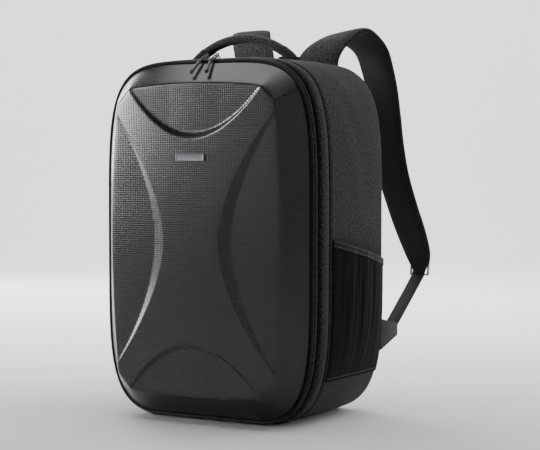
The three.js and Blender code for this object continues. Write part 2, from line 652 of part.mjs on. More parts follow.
// The bowed handle, an arc over the top whose feet are cut level, and the flat tabs that sew it down.
function addHandle() {
  const half = HANDLE_SPAN / 2;
  const radius = (half * half + HANDLE_RISE * HANDLE_RISE) / (2 * HANDLE_RISE);
  const sweep = Math.asin(half / radius);
  const y = FRONT_Y + HANDLE_BACK;
  const seatZ = BODY_HEIGHT + GUSSET_BULGE + HANDLE_TAB_THICKNESS + 2 * SEAT_GAP;
  const middleZ = seatZ + HANDLE_RISE - radius;
  const rings = [];
  for (let i = 0; i <= HANDLE_SPANS; i++) {
    const turn = THREE.MathUtils.lerp(sweep, -sweep, i / HANDLE_SPANS) * HANDLE_OVERRUN;
    const ring = [];
    for (let j = 0; j < 8; j++) {
      const round = ((j + 0.5) * Math.PI) / 4;
      const r = radius + (HANDLE_THICKNESS / 2) * Math.sin(round);
      ring.push(vector(r * Math.sin(turn), y + (HANDLE_WIDTH / 2) * Math.cos(round), middleZ + r * Math.cos(turn)));
    }
    rings.push(ring);
  }
  const arch = solidThrough(rings, false, (p) => new THREE.Vector2(p.y, p.z));
  const size = 2 * BODY_WIDTH;
  const aboveTabs = new THREE.BoxGeometry(size, size, size).translate(0, 0, seatZ + size / 2);
  addPiece("handle", geometryFrom(manifoldOf(arch).intersect(manifoldOf(aboveTabs))), "padding");

  const tabRings = [-1, 0, 1].map((end) => {
    const x = half + (end * HANDLE_TAB_LENGTH) / 2;
    const angle = Math.acos((x / (BODY_WIDTH / 2)) ** (OUTLINE_POWER / 2));
    const foot = outlinePoint(angle, gussetOffset(y) + SEAT_GAP).y;
    const side = HANDLE_WIDTH / 2;
    return [
      vector(x, y - side, foot),
      vector(x, y + side, foot),
      vector(x, y + side, seatZ - SEAT_GAP),
      vector(x, y - side, seatZ - SEAT_GAP),
    ];
  });
  addPair("handle_tab", solidThrough(tabRings, false, (p) => new THREE.Vector2(p.y, p.z)), "trim");
}

// The centre line of a strap on the right, with the width at each section and how far its inner edge drops.
function strapRows(twistDrop) {
  return STRAP_SECTIONS.map(({ across, out, rise, width, thick, twist }) => {
    const drop = twist * twistDrop;
    const z = rise >= 0 ? BODY_HEIGHT + rise * STRAP_LOOP_RISE : BODY_HEIGHT + rise * (BODY_HEIGHT - STRAP_END_HEIGHT);
    const y = BACK_Y + SEAT_GAP + STRAP_THICKNESS / 2 + out * STRAP_BOW_DEPTH;
    const middle = vector(across * STRAP_SPREAD_WIDTH, y, z - drop / 2);
    return { middle, width: width * STRAP_WIDTH, half: (thick * STRAP_THICKNESS) / 2, drop };
  });
}

// At a section: the direction along the strap, across it to its outer edge, and out of its outer face.
function strapFrame(rows, i) {
  const before = rows[Math.max(i - 1, 0)].middle;
  const after = rows[Math.min(i + 1, rows.length - 1)].middle;
  const along = after.clone().sub(before);
  along.x = 0;
  along.normalize();
  const roll = Math.asin(rows[i].drop / rows[i].width);
  const side = vector(Math.cos(roll), 0, Math.sin(roll));
  const out = vector(0, -along.z, along.y);
  return { along, side, out: out.addScaledVector(side, -out.dot(side)).normalize() };
}

function strapSolid(rows) {
  const corners = [
    [-1, 0], [-0.9, 0.75], [-0.72, 1], [0.72, 1], [0.9, 0.75],
    [1, 0], [0.9, -0.75], [0.72, -1], [-0.72, -1], [-0.9, -0.75],
  ];
  const rings = rows.map(({ middle, width, half }, i) => {
    const { side, out } = strapFrame(rows, i);
    return corners.map(([a, b]) =>
      middle.clone().addScaledVector(side, (a * width) / 2).addScaledVector(out, b * half),
    );
  });
  return solidThrough(rings, false, (p) => new THREE.Vector2(p.x, p.y + p.z));
}

function addStraps() {
  const rows = strapRows(RIGHT_TWIST_DEPTH);
  addPiece("strap_pad_right", strapSolid(rows), "padding");
  addPiece("strap_pad_left", mirrored(strapSolid(strapRows(-LEFT_TWIST_HEIGHT))), "padding");
  return strapRows(0);
}

// A flat ribbon of webbing through points, its width always level across the body.
function ribbon(points, width, thickness) {
  const rings = points.map((p, i) => {
    const before = points[Math.max(i - 1, 0)];
    const after = points[Math.min(i + 1, points.length - 1)];
    const along = after.clone().sub(before);
    along.x = 0;
    along.normalize();
    const out = vector(0, -along.z, along.y).multiplyScalar(thickness / 2);
    const side = vector(width / 2, 0, 0);
    return [
      p.clone().add(side).add(out),
      p.clone().sub(side).add(out),
      p.clone().sub(side).sub(out),
      p.clone().add(side).sub(out),
    ];
  });
  return solidThrough(rings, false, (p) => new THREE.Vector2(p.x, p.z + p.y));
}

// The ladder adjuster hangs by a loop on the outer face of the strap's end, three sections above its tip,
// and the webbing runs from it to the tab on the body's corner.
function addAdjuster(rows) {
  const wingX = outlineHalfWidth(TAB_MIDDLE_HEIGHT) - TAB_INSET;
  const tabX = wingX - SEAT_GAP - WEBBING_WIDTH / 2;
  const tabY = BACK_Y + TAB_REACH_DEPTH;
  const anchor = vector(tabX, tabY, TAB_MIDDLE_HEIGHT + TAB_HEIGHT / 10);
  const end = rows.length - 3;
  const { along: strapAlong, out: strapOut } = strapFrame(rows, end);
  const standOff = rows[end].half + BUCKLE_THICKNESS / 2 + BUCKLE_STAND_OFF_DEPTH;
  const top = rows[end].middle.clone().addScaledVector(strapAlong, -BUCKLE_RAISE_HEIGHT).addScaledVector(strapOut, standOff);
  const toAnchor = anchor.clone().sub(top);
  toAnchor.x = 0;
  const down = strapAlong.clone().addScaledVector(strapOut, -Math.tan(BUCKLE_TILT)).normalize();
  const side = vector(1, 0, 0);
  const outward = side.clone().cross(down);

  const [halfWidth, length, bar] = [BUCKLE_WIDTH / 2, BUCKLE_LENGTH, BUCKLE_BAR];
  const frame = new THREE.Shape();
  frame.moveTo(-halfWidth, 0);
  frame.lineTo(halfWidth, 0);
  frame.lineTo(halfWidth, length);
  frame.lineTo(-halfWidth, length);
  const slotLength = (length - 3 * bar) / 2;
  for (const start of [bar, 2 * bar + slotLength]) {
    const slot = new THREE.Path();
    slot.moveTo(bar - halfWidth, start);
    slot.lineTo(bar - halfWidth, start + slotLength);
    slot.lineTo(halfWidth - bar, start + slotLength);
    slot.lineTo(halfWidth - bar, start);
    frame.holes.push(slot);
  }
  const plate = new THREE.ExtrudeGeometry(frame, { depth: BUCKLE_THICKNESS, bevelEnabled: false });
  const basis = new THREE.Matrix4().makeBasis(side, down, outward);
  plate.applyMatrix4(basis.setPosition(top.clone().addScaledVector(outward, -BUCKLE_THICKNESS / 2)));
  addPair("adjuster", plate, "metal");

  const clear = BUCKLE_THICKNESS / 2 + WEBBING_THICKNESS / 2 + SEAT_GAP;
  const at = (distance, face) => top.clone().addScaledVector(down, distance).addScaledVector(outward, face * clear);
  const firstSlot = bar + 0.4 * slotLength;
  const face = (row) => {
    const { out } = strapFrame(rows, row);
    return rows[row].middle.clone().addScaledVector(out, rows[row].half + WEBBING_THICKNESS / 2 + SEAT_GAP);
  };
  const loop = [face(end - 2), face(end - 1), at(-bar, 1), at(bar, 1), at(firstSlot, 0)];
  addPair("strap_loop", ribbon(loop, WEBBING_WIDTH, WEBBING_THICKNESS), "trim");

  const middleBar = bar + slotLength;
  const secondSlot = 2 * bar + 1.5 * slotLength;
  const route = [
    at(middleBar - bar, 0),
    at(middleBar - bar / 2, 1),
    at(middleBar + 1.5 * bar, 1),
    at(secondSlot, 0),
    at(length - 1.5 * bar, -1),
    at(length, -1),
    anchor,
  ];
  const drift = (tabX - top.x) / toAnchor.length();
  route.forEach((p, i) => {
    p.x = i < 5 ? top.x : top.x + drift * p.clone().sub(top).length();
  });
  anchor.x = tabX;
  addPair("webbing", ribbon(route, WEBBING_WIDTH, WEBBING_THICKNESS), "trim");

  const seat = (x, z) => {
    const cornerOffset = Math.min(x - outlineHalfWidth(z), -TAB_INSET / 2);
    const round = Math.sqrt(BACK_ROUND ** 2 - (BACK_ROUND + cornerOffset) ** 2);
    return vector(x, GUSSET_BACK - BACK_ROUND + round + SEAT_GAP, z);
  };
  const wing = [wingX, wingX + TAB_THICKNESS].map((x) => [
    seat(x, TAB_MIDDLE_HEIGHT - TAB_HEIGHT / 2),
    vector(x, tabY, TAB_MIDDLE_HEIGHT - TAB_HEIGHT / 8),
    vector(x, tabY, TAB_MIDDLE_HEIGHT + TAB_HEIGHT / 4),
    seat(x, TAB_MIDDLE_HEIGHT + TAB_HEIGHT / 2),
    seat(x, TAB_MIDDLE_HEIGHT),
  ]);
  addPair("corner_tab", solidThrough(wing, false, (p) => new THREE.Vector2(p.y, p.z)), "fabric");
}

// A slider with its bridge, and the pull whose wire loop goes round the bridge.
function addSlider(name, x, lean) {
  const y = FRONT_Y + COIL_BACK;
  const bodyFoot = BODY_HEIGHT - TAPE_INSET + 2 * SEAT_GAP + COIL_HEIGHT;
  const body = new THREE.BoxGeometry(SLIDER_LENGTH, SLIDER_WIDTH, SLIDER_HEIGHT);
  body.translate(x, y, bodyFoot + SLIDER_HEIGHT / 2);
  const bridge = new THREE.TorusGeometry(BRIDGE_RADIUS, BRIDGE_WIRE, 6, 16);
  const bridgeMiddle = bodyFoot + BRIDGE_RADIUS + BRIDGE_WIRE;
  bridge.rotateX(Math.PI / 2).translate(x, y, bridgeMiddle);
  addPiece(`zip_slider_${name}`, geometryFrom(manifoldOf(body).add(manifoldOf(bridge))), "metal");

  const barZ = bridgeMiddle + BRIDGE_RADIUS;
  const slack = BRIDGE_WIRE + LOOP_WIRE_RADIUS + 2 * SEAT_GAP;
  const slope = vector(Math.sin(lean), -SHELL_RISE, -SHELL_SLOPE_RUN).normalize();
  slope.x = Math.sin(lean);
  slope.normalize();
  const away = vector(0, -SHELL_SLOPE_RUN, SHELL_RISE).normalize();
  const shellTop = vector(x, FRONT_Y, BODY_HEIGHT - SHELL_EDGE_INSET);
  const gripStart = shellTop
    .clone()
    .addScaledVector(slope, GRIP_START_INSET)
    .addScaledVector(away, GRIP_END_RADIUS + 3 * SEAT_GAP);
  const pipingTop = BODY_HEIGHT - TAPE_INSET + SEAT_GAP + 2 * LID_PIPING_RADIUS;
  const overPiping = vector(x, FRONT_Y + LID_PIPING_BACK - LID_PIPING_RADIUS, pipingTop + LOOP_WIRE_RADIUS + 2 * SEAT_GAP);
  const ring = new THREE.CatmullRomCurve3(
    [
      vector(x, y + slack, barZ),
      vector(x, y, barZ + slack),
      gripStart.clone().addScaledVector(away, 2 * LOOP_WIRE_RADIUS),
      gripStart.clone().addScaledVector(slope, 2 * LOOP_WIRE_RADIUS),
      overPiping,
      vector(x, y - slack / 2, barZ - slack),
    ],
    true,
    "centripetal",
  );
  const wireSection = new THREE.Shape().absarc(0, 0, LOOP_WIRE_RADIUS, 0, 2 * Math.PI);
  const wire = new THREE.ExtrudeGeometry(wireSection, { steps: 24, curveSegments: 3, extrudePath: ring });
  const profile = [
    [0, 0], [0.75, 0.02], [0.95, 0.12], [1, 0.6], [1, 0.85], [GRIP_END_RADIUS / GRIP_RADIUS, 0.9],
    [GRIP_END_RADIUS / GRIP_RADIUS, 0.98], [0, 1],
  ].map(([r, along]) => new THREE.Vector2(r * GRIP_RADIUS, along * GRIP_LENGTH));
  const grip = new THREE.LatheGeometry(profile, 8);
  const turn = new THREE.Quaternion().setFromUnitVectors(vector(0, 1, 0), slope);
  grip.applyQuaternion(turn).translate(gripStart.x, gripStart.y, gripStart.z);
  addPiece(`zip_pull_${name}`, geometryFrom(manifoldOf(wire).add(manifoldOf(grip))), "rubber");
}

addShell();
addBadge();
addZip();
addFrontFrame();
addGusset();
addBack();
addPockets();
addHandle();
addAdjuster(addStraps());
addSlider("left", -SLIDER_HALF_PITCH, 0);
addSlider("right", SLIDER_HALF_PITCH, 0.25);

export default backpack;
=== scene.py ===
# The looks of a hard shell backpack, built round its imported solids. Metres, +Z up.
# The moulded shell faces -Y, the wearer's side faces +Y, and the origin is the middle of the base.
import math

import bmesh
import bpy
import numpy as np
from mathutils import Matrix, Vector


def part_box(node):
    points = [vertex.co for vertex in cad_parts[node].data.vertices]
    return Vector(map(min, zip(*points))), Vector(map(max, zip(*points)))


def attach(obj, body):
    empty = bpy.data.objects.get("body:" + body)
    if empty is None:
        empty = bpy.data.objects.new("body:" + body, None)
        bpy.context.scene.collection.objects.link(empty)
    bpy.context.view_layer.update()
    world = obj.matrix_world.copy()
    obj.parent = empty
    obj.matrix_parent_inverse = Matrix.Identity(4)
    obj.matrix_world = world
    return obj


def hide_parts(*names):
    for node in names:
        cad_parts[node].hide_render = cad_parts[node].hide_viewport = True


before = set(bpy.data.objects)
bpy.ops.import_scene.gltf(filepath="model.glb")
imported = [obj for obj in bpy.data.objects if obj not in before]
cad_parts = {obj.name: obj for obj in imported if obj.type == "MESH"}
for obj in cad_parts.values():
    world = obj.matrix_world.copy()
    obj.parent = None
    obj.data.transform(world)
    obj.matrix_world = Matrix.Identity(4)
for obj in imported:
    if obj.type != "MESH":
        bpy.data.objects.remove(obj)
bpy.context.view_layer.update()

# Camera. It stands to the right of the shell, a little above its middle, as the photograph was taken.
CAMERA_AZIMUTH, CAMERA_ELEVATION, CAMERA_DISTANCE = 31.6, 2.9, 2.202
AIM = Vector((0, -0.008, 0.240))


def direction(azimuth, elevation):
    """The way out from the aim, in degrees, azimuth 0 being straight in front of the shell and 90 its right."""
    azimuth, elevation = math.radians(azimuth), math.radians(elevation)
    level = math.cos(elevation)
    return Vector((math.sin(azimuth) * level, -math.cos(azimuth) * level, math.sin(elevation)))


def stand_back(thing, way, distance):
    """Puts a camera or light that far out from the aim, looking back at it."""
    thing.location = AIM + way * distance
    thing.rotation_euler = way.to_track_quat("Z", "Y").to_euler()
    bpy.context.scene.collection.objects.link(thing)


camera = bpy.data.objects.new("camera", bpy.data.cameras.new("camera"))
camera.data.lens = 107.1
camera.data.shift_x = 0.0483
camera.data.shift_y = 0.0226
stand_back(camera, direction(CAMERA_AZIMUTH, CAMERA_ELEVATION), CAMERA_DISTANCE)
bpy.context.scene.camera = camera

# Studio. Two soft lights on the left, the brighter one near the mirror line of the shell, a wide one overhead
# and two behind. In front and on the right it is dim, so that the shell's right slope stays dark.
SOFT_LIGHTS = (
    # name, azimuth, elevation, distance, width, height, watts
    ("key", -51, 18, 2.0, 0.42, 0.9, 56),
    ("left_side", -84, 6, 2.0, 0.4, 1.1, 18),
    ("overhead", 180, 86, 1.8, 2.4, 0.9, 24),
    ("left_back", -125, 20, 2.4, 0.8, 1.6, 24),
    ("right_back", 150, 30, 2.6, 1.0, 1.0, 8),
)


def soft_light(name, azimuth, elevation, distance, width, height, watts):
    """A rectangular light that the camera doesn't see, looking at the backpack."""
    light = bpy.data.objects.new(name, bpy.data.lights.new(name, "AREA"))
    light.data.shape = "RECTANGLE"
    light.data.size = width
    light.data.size_y = height
    light.data.energy = watts
    light.visible_camera = False
    stand_back(light, direction(azimuth, elevation), distance)
    return light


for row in SOFT_LIGHTS:
    soft_light(*row)

world = bpy.data.worlds.new("studio")
world.use_nodes = True
world.node_tree.nodes["Background"].inputs["Color"].default_value = (1, 1, 1, 1)
world.node_tree.nodes["Background"].inputs["Strength"].default_value = 0.08
bpy.context.scene.world = world


def add_node(tree, kind, inputs=None, **settings):
    """A node with its settings, and each input given a value or joined to another node's output."""
    new = tree.nodes.new(kind)
    for key, value in settings.items():
        setattr(new, key, value)
    for key, value in (inputs or {}).items():
        if isinstance(value, bpy.types.NodeSocket):
            tree.links.new(value, new.inputs[key])
        else:
            new.inputs[key].default_value = value
    return new


def math_node(tree, operation, *values):
    """What a sum makes of numbers and other nodes' outputs."""
    return add_node(tree, "ShaderNodeMath", dict(enumerate(values)), operation=operation).outputs[0]


def surface(name, color, roughness, **sockets):
    """A material with these fixed values, its node tree and its shader."""
    material = bpy.data.materials.new(name)
    material.use_nodes = True
    shader = material.node_tree.nodes["Principled BSDF"]
    shader.inputs["Base Color"].default_value = (*color, 1)
    shader.inputs["Roughness"].default_value = roughness
    for key, value in sockets.items():
        shader.inputs[key.replace("_", " ")].default_value = value
    return material, material.node_tree, shader


def relief(tree, shader, height, strength, depth, invert=False):
    """Gives a shader the bumps of a height."""
    inputs = {"Strength": strength, "Distance": depth, "Height": height}
    bump = add_node(tree, "ShaderNodeBump", inputs, invert=invert)
    tree.links.new(bump.outputs["Normal"], shader.inputs["Normal"])


def blend(tree, shader, share, low, high):
    """Gives a shader a base colour between two, by share."""
    mix = add_node(tree, "ShaderNodeMix", {0: share, 6: (*low, 1), 7: (*high, 1)}, data_type="RGBA")
    tree.links.new(mix.outputs[2], shader.inputs["Base Color"])


def vary_roughness(tree, shader, height, low, high):
    """Gives a shader a roughness that goes from low to high with a height."""
    rough = add_node(tree, "ShaderNodeMapRange", {"Value": height, "To Min": low, "To Max": high})
    tree.links.new(rough.outputs["Result"], shader.inputs["Roughness"])


# Floor and backdrop. One white sheet, a round floor that curves up all round the backpack.
# Its own lights hang over its back half and shine on it alone. The two lights on the left miss it.
FLOOR_REACH, FLOOR_CURVE, FLOOR_TOP = 3.2, 1.5, 4.5
FLOOR_SIDES = 96
FLOOR_LIGHT_TILT = 62
profile = [
    (FLOOR_REACH + FLOOR_CURVE * math.sin(turn), FLOOR_CURVE * (1 - math.cos(turn)))
    for turn in np.linspace(0, math.pi / 2, 13)
]
profile = [(1.0, 0.0)] + profile + [(FLOOR_REACH + FLOOR_CURVE, FLOOR_TOP)]
rings = np.arange(len(profile) * FLOOR_SIDES).reshape(-1, FLOOR_SIDES)
beside = np.roll(rings, -1, 1)
sheet = bpy.data.meshes.new("floor")
places = [
    (reach * math.cos(turn), reach * math.sin(turn), height)
    for reach, height in profile
    for turn in np.linspace(0, 2 * math.pi, FLOOR_SIDES, endpoint=False)
]
faces = np.stack([rings[:-1], rings[1:], beside[1:], beside[:-1]], -1).reshape(-1, 4).tolist()
sheet.from_pydata(places, [], [rings[0].tolist()] + faces)
sheet.shade_smooth()
sheet.materials.append(surface("white_sheet", (0.93, 0.93, 0.93), 0.9)[0])
floor = bpy.data.objects.new("floor", sheet)
bpy.context.scene.collection.objects.link(floor)
all_but_floor = bpy.data.collections.new("all_but_floor")
floor_only = bpy.data.collections.new("floor_only")
for lit in (all_but_floor, floor_only):
    lit.objects.link(floor)
all_but_floor.collection_objects[0].light_linking.link_state = "EXCLUDE"
for name in ("key", "left_side"):
    bpy.data.objects[name].light_linking.receiver_collection = all_but_floor
for azimuth in (-135, -165):
    light = soft_light("floor_light", azimuth, 60, 2.6, 1.5, 1.5, 100)
    light.light_linking.receiver_collection = floor_only
    light.rotation_euler = (math.radians(FLOOR_LIGHT_TILT), 0, math.radians(azimuth - 180))

# The body's outline, which the shell, zip, frame, sides and back all follow.
# It is a rounded rectangle whose lowest stretch is cut flat, so that the backpack stands.
BODY_WIDTH = 0.326
BODY_HEIGHT = 0.480
BODY_DEPTH = 0.200
FOOT_CUT = 0.003
OUTLINE_POWER = 4.7
FRONT_Y = -BODY_DEPTH / 2
BACK_Y = BODY_DEPTH / 2
MID_Z = BODY_HEIGHT / 2
GAP = 0.0003
HALF_WIDTH = BODY_WIDTH / 2
HALF_HEIGHT = (BODY_HEIGHT + FOOT_CUT) / 2
OUTLINE_MIDDLE = BODY_HEIGHT - HALF_HEIGHT


def outline(bearing, offset):
    """x and z of the outline at these bearings from its middle, moved out by offset along its normal."""
    across, up = np.cos(bearing) / HALF_WIDTH, np.sin(bearing) / HALF_HEIGHT
    reach = (np.abs(across) ** OUTLINE_POWER + np.abs(up) ** OUTLINE_POWER) ** (-1 / OUTLINE_POWER)
    x, z = reach * np.cos(bearing), reach * np.sin(bearing)
    lean_x = np.sign(x) * np.abs(x / HALF_WIDTH) ** (OUTLINE_POWER - 1) / HALF_WIDTH
    lean_z = np.sign(z) * np.abs(z / HALF_HEIGHT) ** (OUTLINE_POWER - 1) / HALF_HEIGHT
    length = np.hypot(lean_x, lean_z)
    low = np.maximum(-np.asarray(offset), 0.0)
    return x + lean_x / length * offset, np.maximum(OUTLINE_MIDDLE + z + lean_z / length * offset, low)


def lengths_along(points):
    """How far along a line each of its points is."""
    return np.concatenate(([0.0], np.cumsum(np.linalg.norm(np.diff(points, axis=0), axis=-1))))


def unit(vectors):
    """The same ways, each one long."""
    return vectors / np.linalg.norm(vectors, axis=-1, keepdims=True)


def upright_ways(points):
    """At each point of a line, its way along and its way outwards, both square to the body's width."""
    along = np.gradient(points, axis=0)
    along[:, 0] = 0
    along = unit(along)
    return along, np.stack([0 * along[:, 0], -along[:, 2], along[:, 1]], -1)


def grid(rows, columns):
    """Pairs of values over rows and columns."""
    return np.stack(np.meshgrid(rows, columns, indexing="ij"), -1)


def even_bearings(count, start=0.0, end=2 * math.pi):
    """Bearings evenly spaced along the outline, and how far along it each one is."""
    whole = end - start > 6.28
    fine = np.linspace(start, end, 6001)
    run = lengths_along(np.stack(outline(fine, 0.0), -1))
    stops = np.linspace(0, run[-1], count, endpoint=not whole)
    return np.interp(stops, run, fine), stops, run[-1]


def lattice(name, points, flat, ring=False):
    """A closed mesh over rows of points that each go all the way round. The rows join into a ring or have caps.

    Its flat map may hold one more column, and for a ring one more row, where it starts again."""
    rows, columns = points.shape[:2]
    if flat.shape[1] == columns:
        flat = np.concatenate([flat, flat[:, :1]], 1)
    i, j = np.meshgrid(np.arange(rows if ring else rows - 1), np.arange(columns), indexing="ij")
    below, beside = (i + 1) % rows, (j + 1) % columns
    corners = (i * columns + j, i * columns + beside, below * columns + beside, below * columns + j)
    faces = np.stack(corners, -1).reshape(-1, 4).tolist()
    lie = np.stack([flat[i, j], flat[i, j + 1], flat[i + 1, j + 1], flat[i + 1, j]], -2).reshape(-1, 2)
    places = points.reshape(-1, 3)
    for row in () if ring else (0, rows - 1):
        first, tip = row * columns, len(places)
        places = np.vstack([places, points[row].mean(0)])
        faces += [(first + k, first + (k + 1) % columns, tip) for k in range(columns)]
        lie = np.vstack([lie, np.repeat(flat[row, :columns], 3, 0)])
    mesh = bpy.data.meshes.new(name)
    mesh.from_pydata(places.tolist(), [], faces)
    mesh.uv_layers.new(name="flat").data.foreach_set("uv", lie.astype(np.float32).ravel())
    return place_mesh(name, mesh)


def place_mesh(name, mesh):
    """A mesh in the scene, with its faces smooth and turned outwards."""
    work = bmesh.new()
    work.from_mesh(mesh)
    bmesh.ops.recalc_face_normals(work, faces=work.faces)
    work.to_mesh(mesh)
    work.free()
    mesh.shade_smooth()
    piece = bpy.data.objects.new(name, mesh)
    bpy.context.scene.collection.objects.link(piece)
    return piece


def dress(piece, slot, *materials, stands_for=()):
    """Gives a finished piece its materials and its body, and hides the solids it stands for. Its slot is not
    used.
    """
    for material in materials:
        piece.data.materials.append(material)
    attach(piece, "root")
    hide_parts(*stands_for)
    return piece


# Shell. One sheet of glossy black polycarbonate with a fine square weave embossed in it, vacuum formed
# over a mould: a sloping wall up to a plateau with cut corners, and four bays pressed in beside a cross.
SHELL_RISE = 0.039
SHELL_WALL = 0.0025
SHELL_EDGE_INSET = 0.005
SLOPE_RUN = 0.0285
SIDE_SLOPE_RUN = 0.0262
BAY_DEPTH = 0.0049
BAY_SHALLOWER = 0.3
SIDE_BAND, END_BAND = 0.0164, 0.009
BAY_REACH = 0.0425
EDGE_ROUND = 0.05
SHELL_BLUR = 0.0009
PLATEAU_PROUD = 0.0035
SIDE_CROWN, END_CROWN = 0.0055, 0.0055
SHELL_AROUND = 640
WEAVE_PITCH = 0.0029
WEAVE_POWER = 0.3
CLOTH_PITCH, NET_PITCH, AIR_MESH_PITCH, RIB_PITCH = 0.0011, 0.0016, 0.0032, 0.0013
# How far the plateau's sides and ends bow in towards its corners, and where its corner cuts and bays start,
# as shares of its half width and half height.
SIDE_BOW, END_BOW = 0.073, 0.03
CUT_ACROSS, CUT_UP = 0.775, 0.87
BAY_MOUTH_UP, END_BAY_REACH = 0.81, 0.645
half_across = HALF_WIDTH - SHELL_EDGE_INSET - SIDE_SLOPE_RUN
half_up = BODY_HEIGHT / 2 - SHELL_EDGE_INSET - SLOPE_RUN
side_crease, top_crease = math.radians(38.8), math.radians(65.1)
crease_x, crease_z = CUT_ACROSS * half_across, CUT_UP * half_up


def plateau_edge(bearing):
    """The plateau's edge from its middle: bowed sides, bowed ends, and a straight cut across each corner."""
    x, z = outline(bearing, 0.0)
    turn = np.arccos(np.minimum(np.abs(x) / HALF_WIDTH, 1) ** (OUTLINE_POWER / 2))
    side_z = crease_z * (np.sin(turn) / math.sin(side_crease)) ** (2 / OUTLINE_POWER)
    side_x = half_across * (1 - SIDE_BOW * (side_z / crease_z) ** 2)
    end_x = crease_x * (np.cos(turn) / math.cos(top_crease)) ** (2 / OUTLINE_POWER)
    end_z = half_up * (1 - END_BOW * (end_x / crease_x) ** 2)
    cut = np.clip((turn - side_crease) / (top_crease - side_crease), 0, 1)
    corner_x = (1 - cut) * half_across * (1 - SIDE_BOW) + cut * crease_x
    corner_z = (1 - cut) * crease_z + cut * half_up * (1 - END_BOW)
    on_side, on_end = turn <= side_crease, turn >= top_crease
    edge_x = np.where(on_side, side_x, np.where(on_end, end_x, corner_x))
    edge_z = np.where(on_side, side_z, np.where(on_end, end_z, corner_z))
    return edge_x * np.sign(np.cos(bearing)), edge_z * np.sign(np.sin(bearing))


def bay_share(x, z):
    """How deep a place on the plateau lies in a bay: 0 on the cross, 1 on a bay's floor."""
    depth = np.zeros_like(x)
    mouth_z = BAY_MOUTH_UP * half_up
    mouth_x = half_across * (1 - SIDE_BOW * (BAY_MOUTH_UP / CUT_UP) ** 2)
    for across, along, mouth, reach, band, ends, power, edge in (
        (np.abs(x), z, mouth_x, BAY_REACH, SIDE_BAND, mouth_z, 1.75, half_across),
        (np.abs(z), x, half_up * (1 - END_BOW), END_BAY_REACH * half_up, END_BAND, crease_x, 2.0, half_up),
    ):
        share = np.minimum(np.abs(along) / ends, 1)
        lip = reach + (mouth - reach) * share**power
        foot = reach + band + (mouth - reach - band) * share**power
        down = np.clip((across - lip) / np.maximum(foot - lip, 1e-5), 0, 1) * (np.abs(along) < ends)
        down = down * (1 - BAY_SHALLOWER * np.clip((across - foot) / np.maximum(edge - foot, 0.004), 0, 1))
        depth = np.maximum(depth, down * np.clip(1.6 * (1 - share), 0, 1) ** 0.5)
    return depth


def wall_rise(run):
    """How far up its sloping wall the shell is: 1 at the rim, 0 on the plateau, with a soft turn between."""
    return (run + np.sqrt(run * run + EDGE_ROUND**2)) / (1 + math.sqrt(1 + EDGE_ROUND**2))


def crown(x, z):
    """How far the plateau has fallen back from its middle, which stands out a little."""
    return SIDE_CROWN * (x / half_across) ** 2 + END_CROWN * (z / half_up) ** 2 - PLATEAU_PROUD


def shell_points():
    """The shell as rings, from the middle of its inside, round its rim, to the middle of its outside."""
    bearing, _, _ = even_bearings(SHELL_AROUND)
    rim_x, rim_z = outline(bearing, -SHELL_EDGE_INSET)
    rim_z = rim_z - MID_Z
    edge_x, edge_z = plateau_edge(bearing)
    for _ in range(2):
        edge_x = sum(np.roll(edge_x, k) for k in range(-2, 3)) / 5
        edge_z = sum(np.roll(edge_z, k) for k in range(-2, 3)) / 5
    run = np.hypot(rim_x - edge_x, rim_z - edge_z)
    out_x, out_z = (rim_x - edge_x) / run, (rim_z - edge_z) / run
    stretch = np.hypot(run, SHELL_RISE)
    crest = FRONT_Y - SHELL_RISE
    rings, flats = [], []

    def put(x, y, z, flat_x, flat_z):
        rings.append(np.stack([x, np.broadcast_to(y, x.shape), z + MID_Z], -1))
        flats.append(np.stack([flat_x, flat_z], -1))

    back = crest + SHELL_WALL + BAY_DEPTH
    for scale in (0.02, 0.5, 0.985):
        put(edge_x * scale, back, edge_z * scale, edge_x * scale, edge_z * scale)
    inner = SHELL_WALL * math.hypot(SLOPE_RUN, SHELL_RISE) / SHELL_RISE
    put(rim_x - out_x * inner, FRONT_Y, rim_z - out_z * inner, rim_x, rim_z)
    put(rim_x - out_x * 0.0006, FRONT_Y, rim_z - out_z * 0.0006, rim_x, rim_z)
    slope = np.concatenate([np.linspace(1, 0.4, 7), np.linspace(0.36, 0, 13)])
    samples = [(0, 0), (1, 0), (-1, 0), (0, 1), (0, -1)] + [(a, b) for a in (0.7, -0.7) for b in (0.7, -0.7)]

    def bays(x, z):
        return sum(bay_share(x + a * SHELL_BLUR, z + b * SHELL_BLUR) for a, b in samples) / len(samples)

    edge_y = crest + BAY_DEPTH * bays(edge_x, edge_z) + crown(edge_x, edge_z)
    for t in slope:
        x, z = edge_x + out_x * run * t, edge_z + out_z * run * t
        y = edge_y + (FRONT_Y - edge_y) * wall_rise(t)
        put(x, y, z, edge_x + out_x * stretch * t, edge_z + out_z * stretch * t)
    for scale in np.concatenate([np.linspace(0.995, 0.94, 10), np.linspace(0.93, 0.02, 98)]):
        x, z = edge_x * scale, edge_z * scale
        inward = (scale - 1) * np.hypot(edge_x, edge_z) / run
        put(x, crest + (FRONT_Y - edge_y) * wall_rise(inward) + BAY_DEPTH * bays(x, z) + crown(x, z), z, x, z)
    return np.array(rings), np.array(flats)


def square_weave(tree, pitch):
    """The height of an embossed square weave over the piece's flat map: 0 in its grooves, 1 on its tops."""
    flat = add_node(tree, "ShaderNodeUVMap", uv_map="flat").outputs["UV"]
    parts = add_node(tree, "ShaderNodeSeparateXYZ", {"Vector": flat})
    ridges = []
    for axis in "XY":
        turn = math_node(tree, "MULTIPLY", parts.outputs[axis], math.pi / pitch)
        ridges.append(math_node(tree, "ABSOLUTE", math_node(tree, "SINE", turn)))
    return math_node(tree, "POWER", math_node(tree, "MULTIPLY", *ridges), WEAVE_POWER)


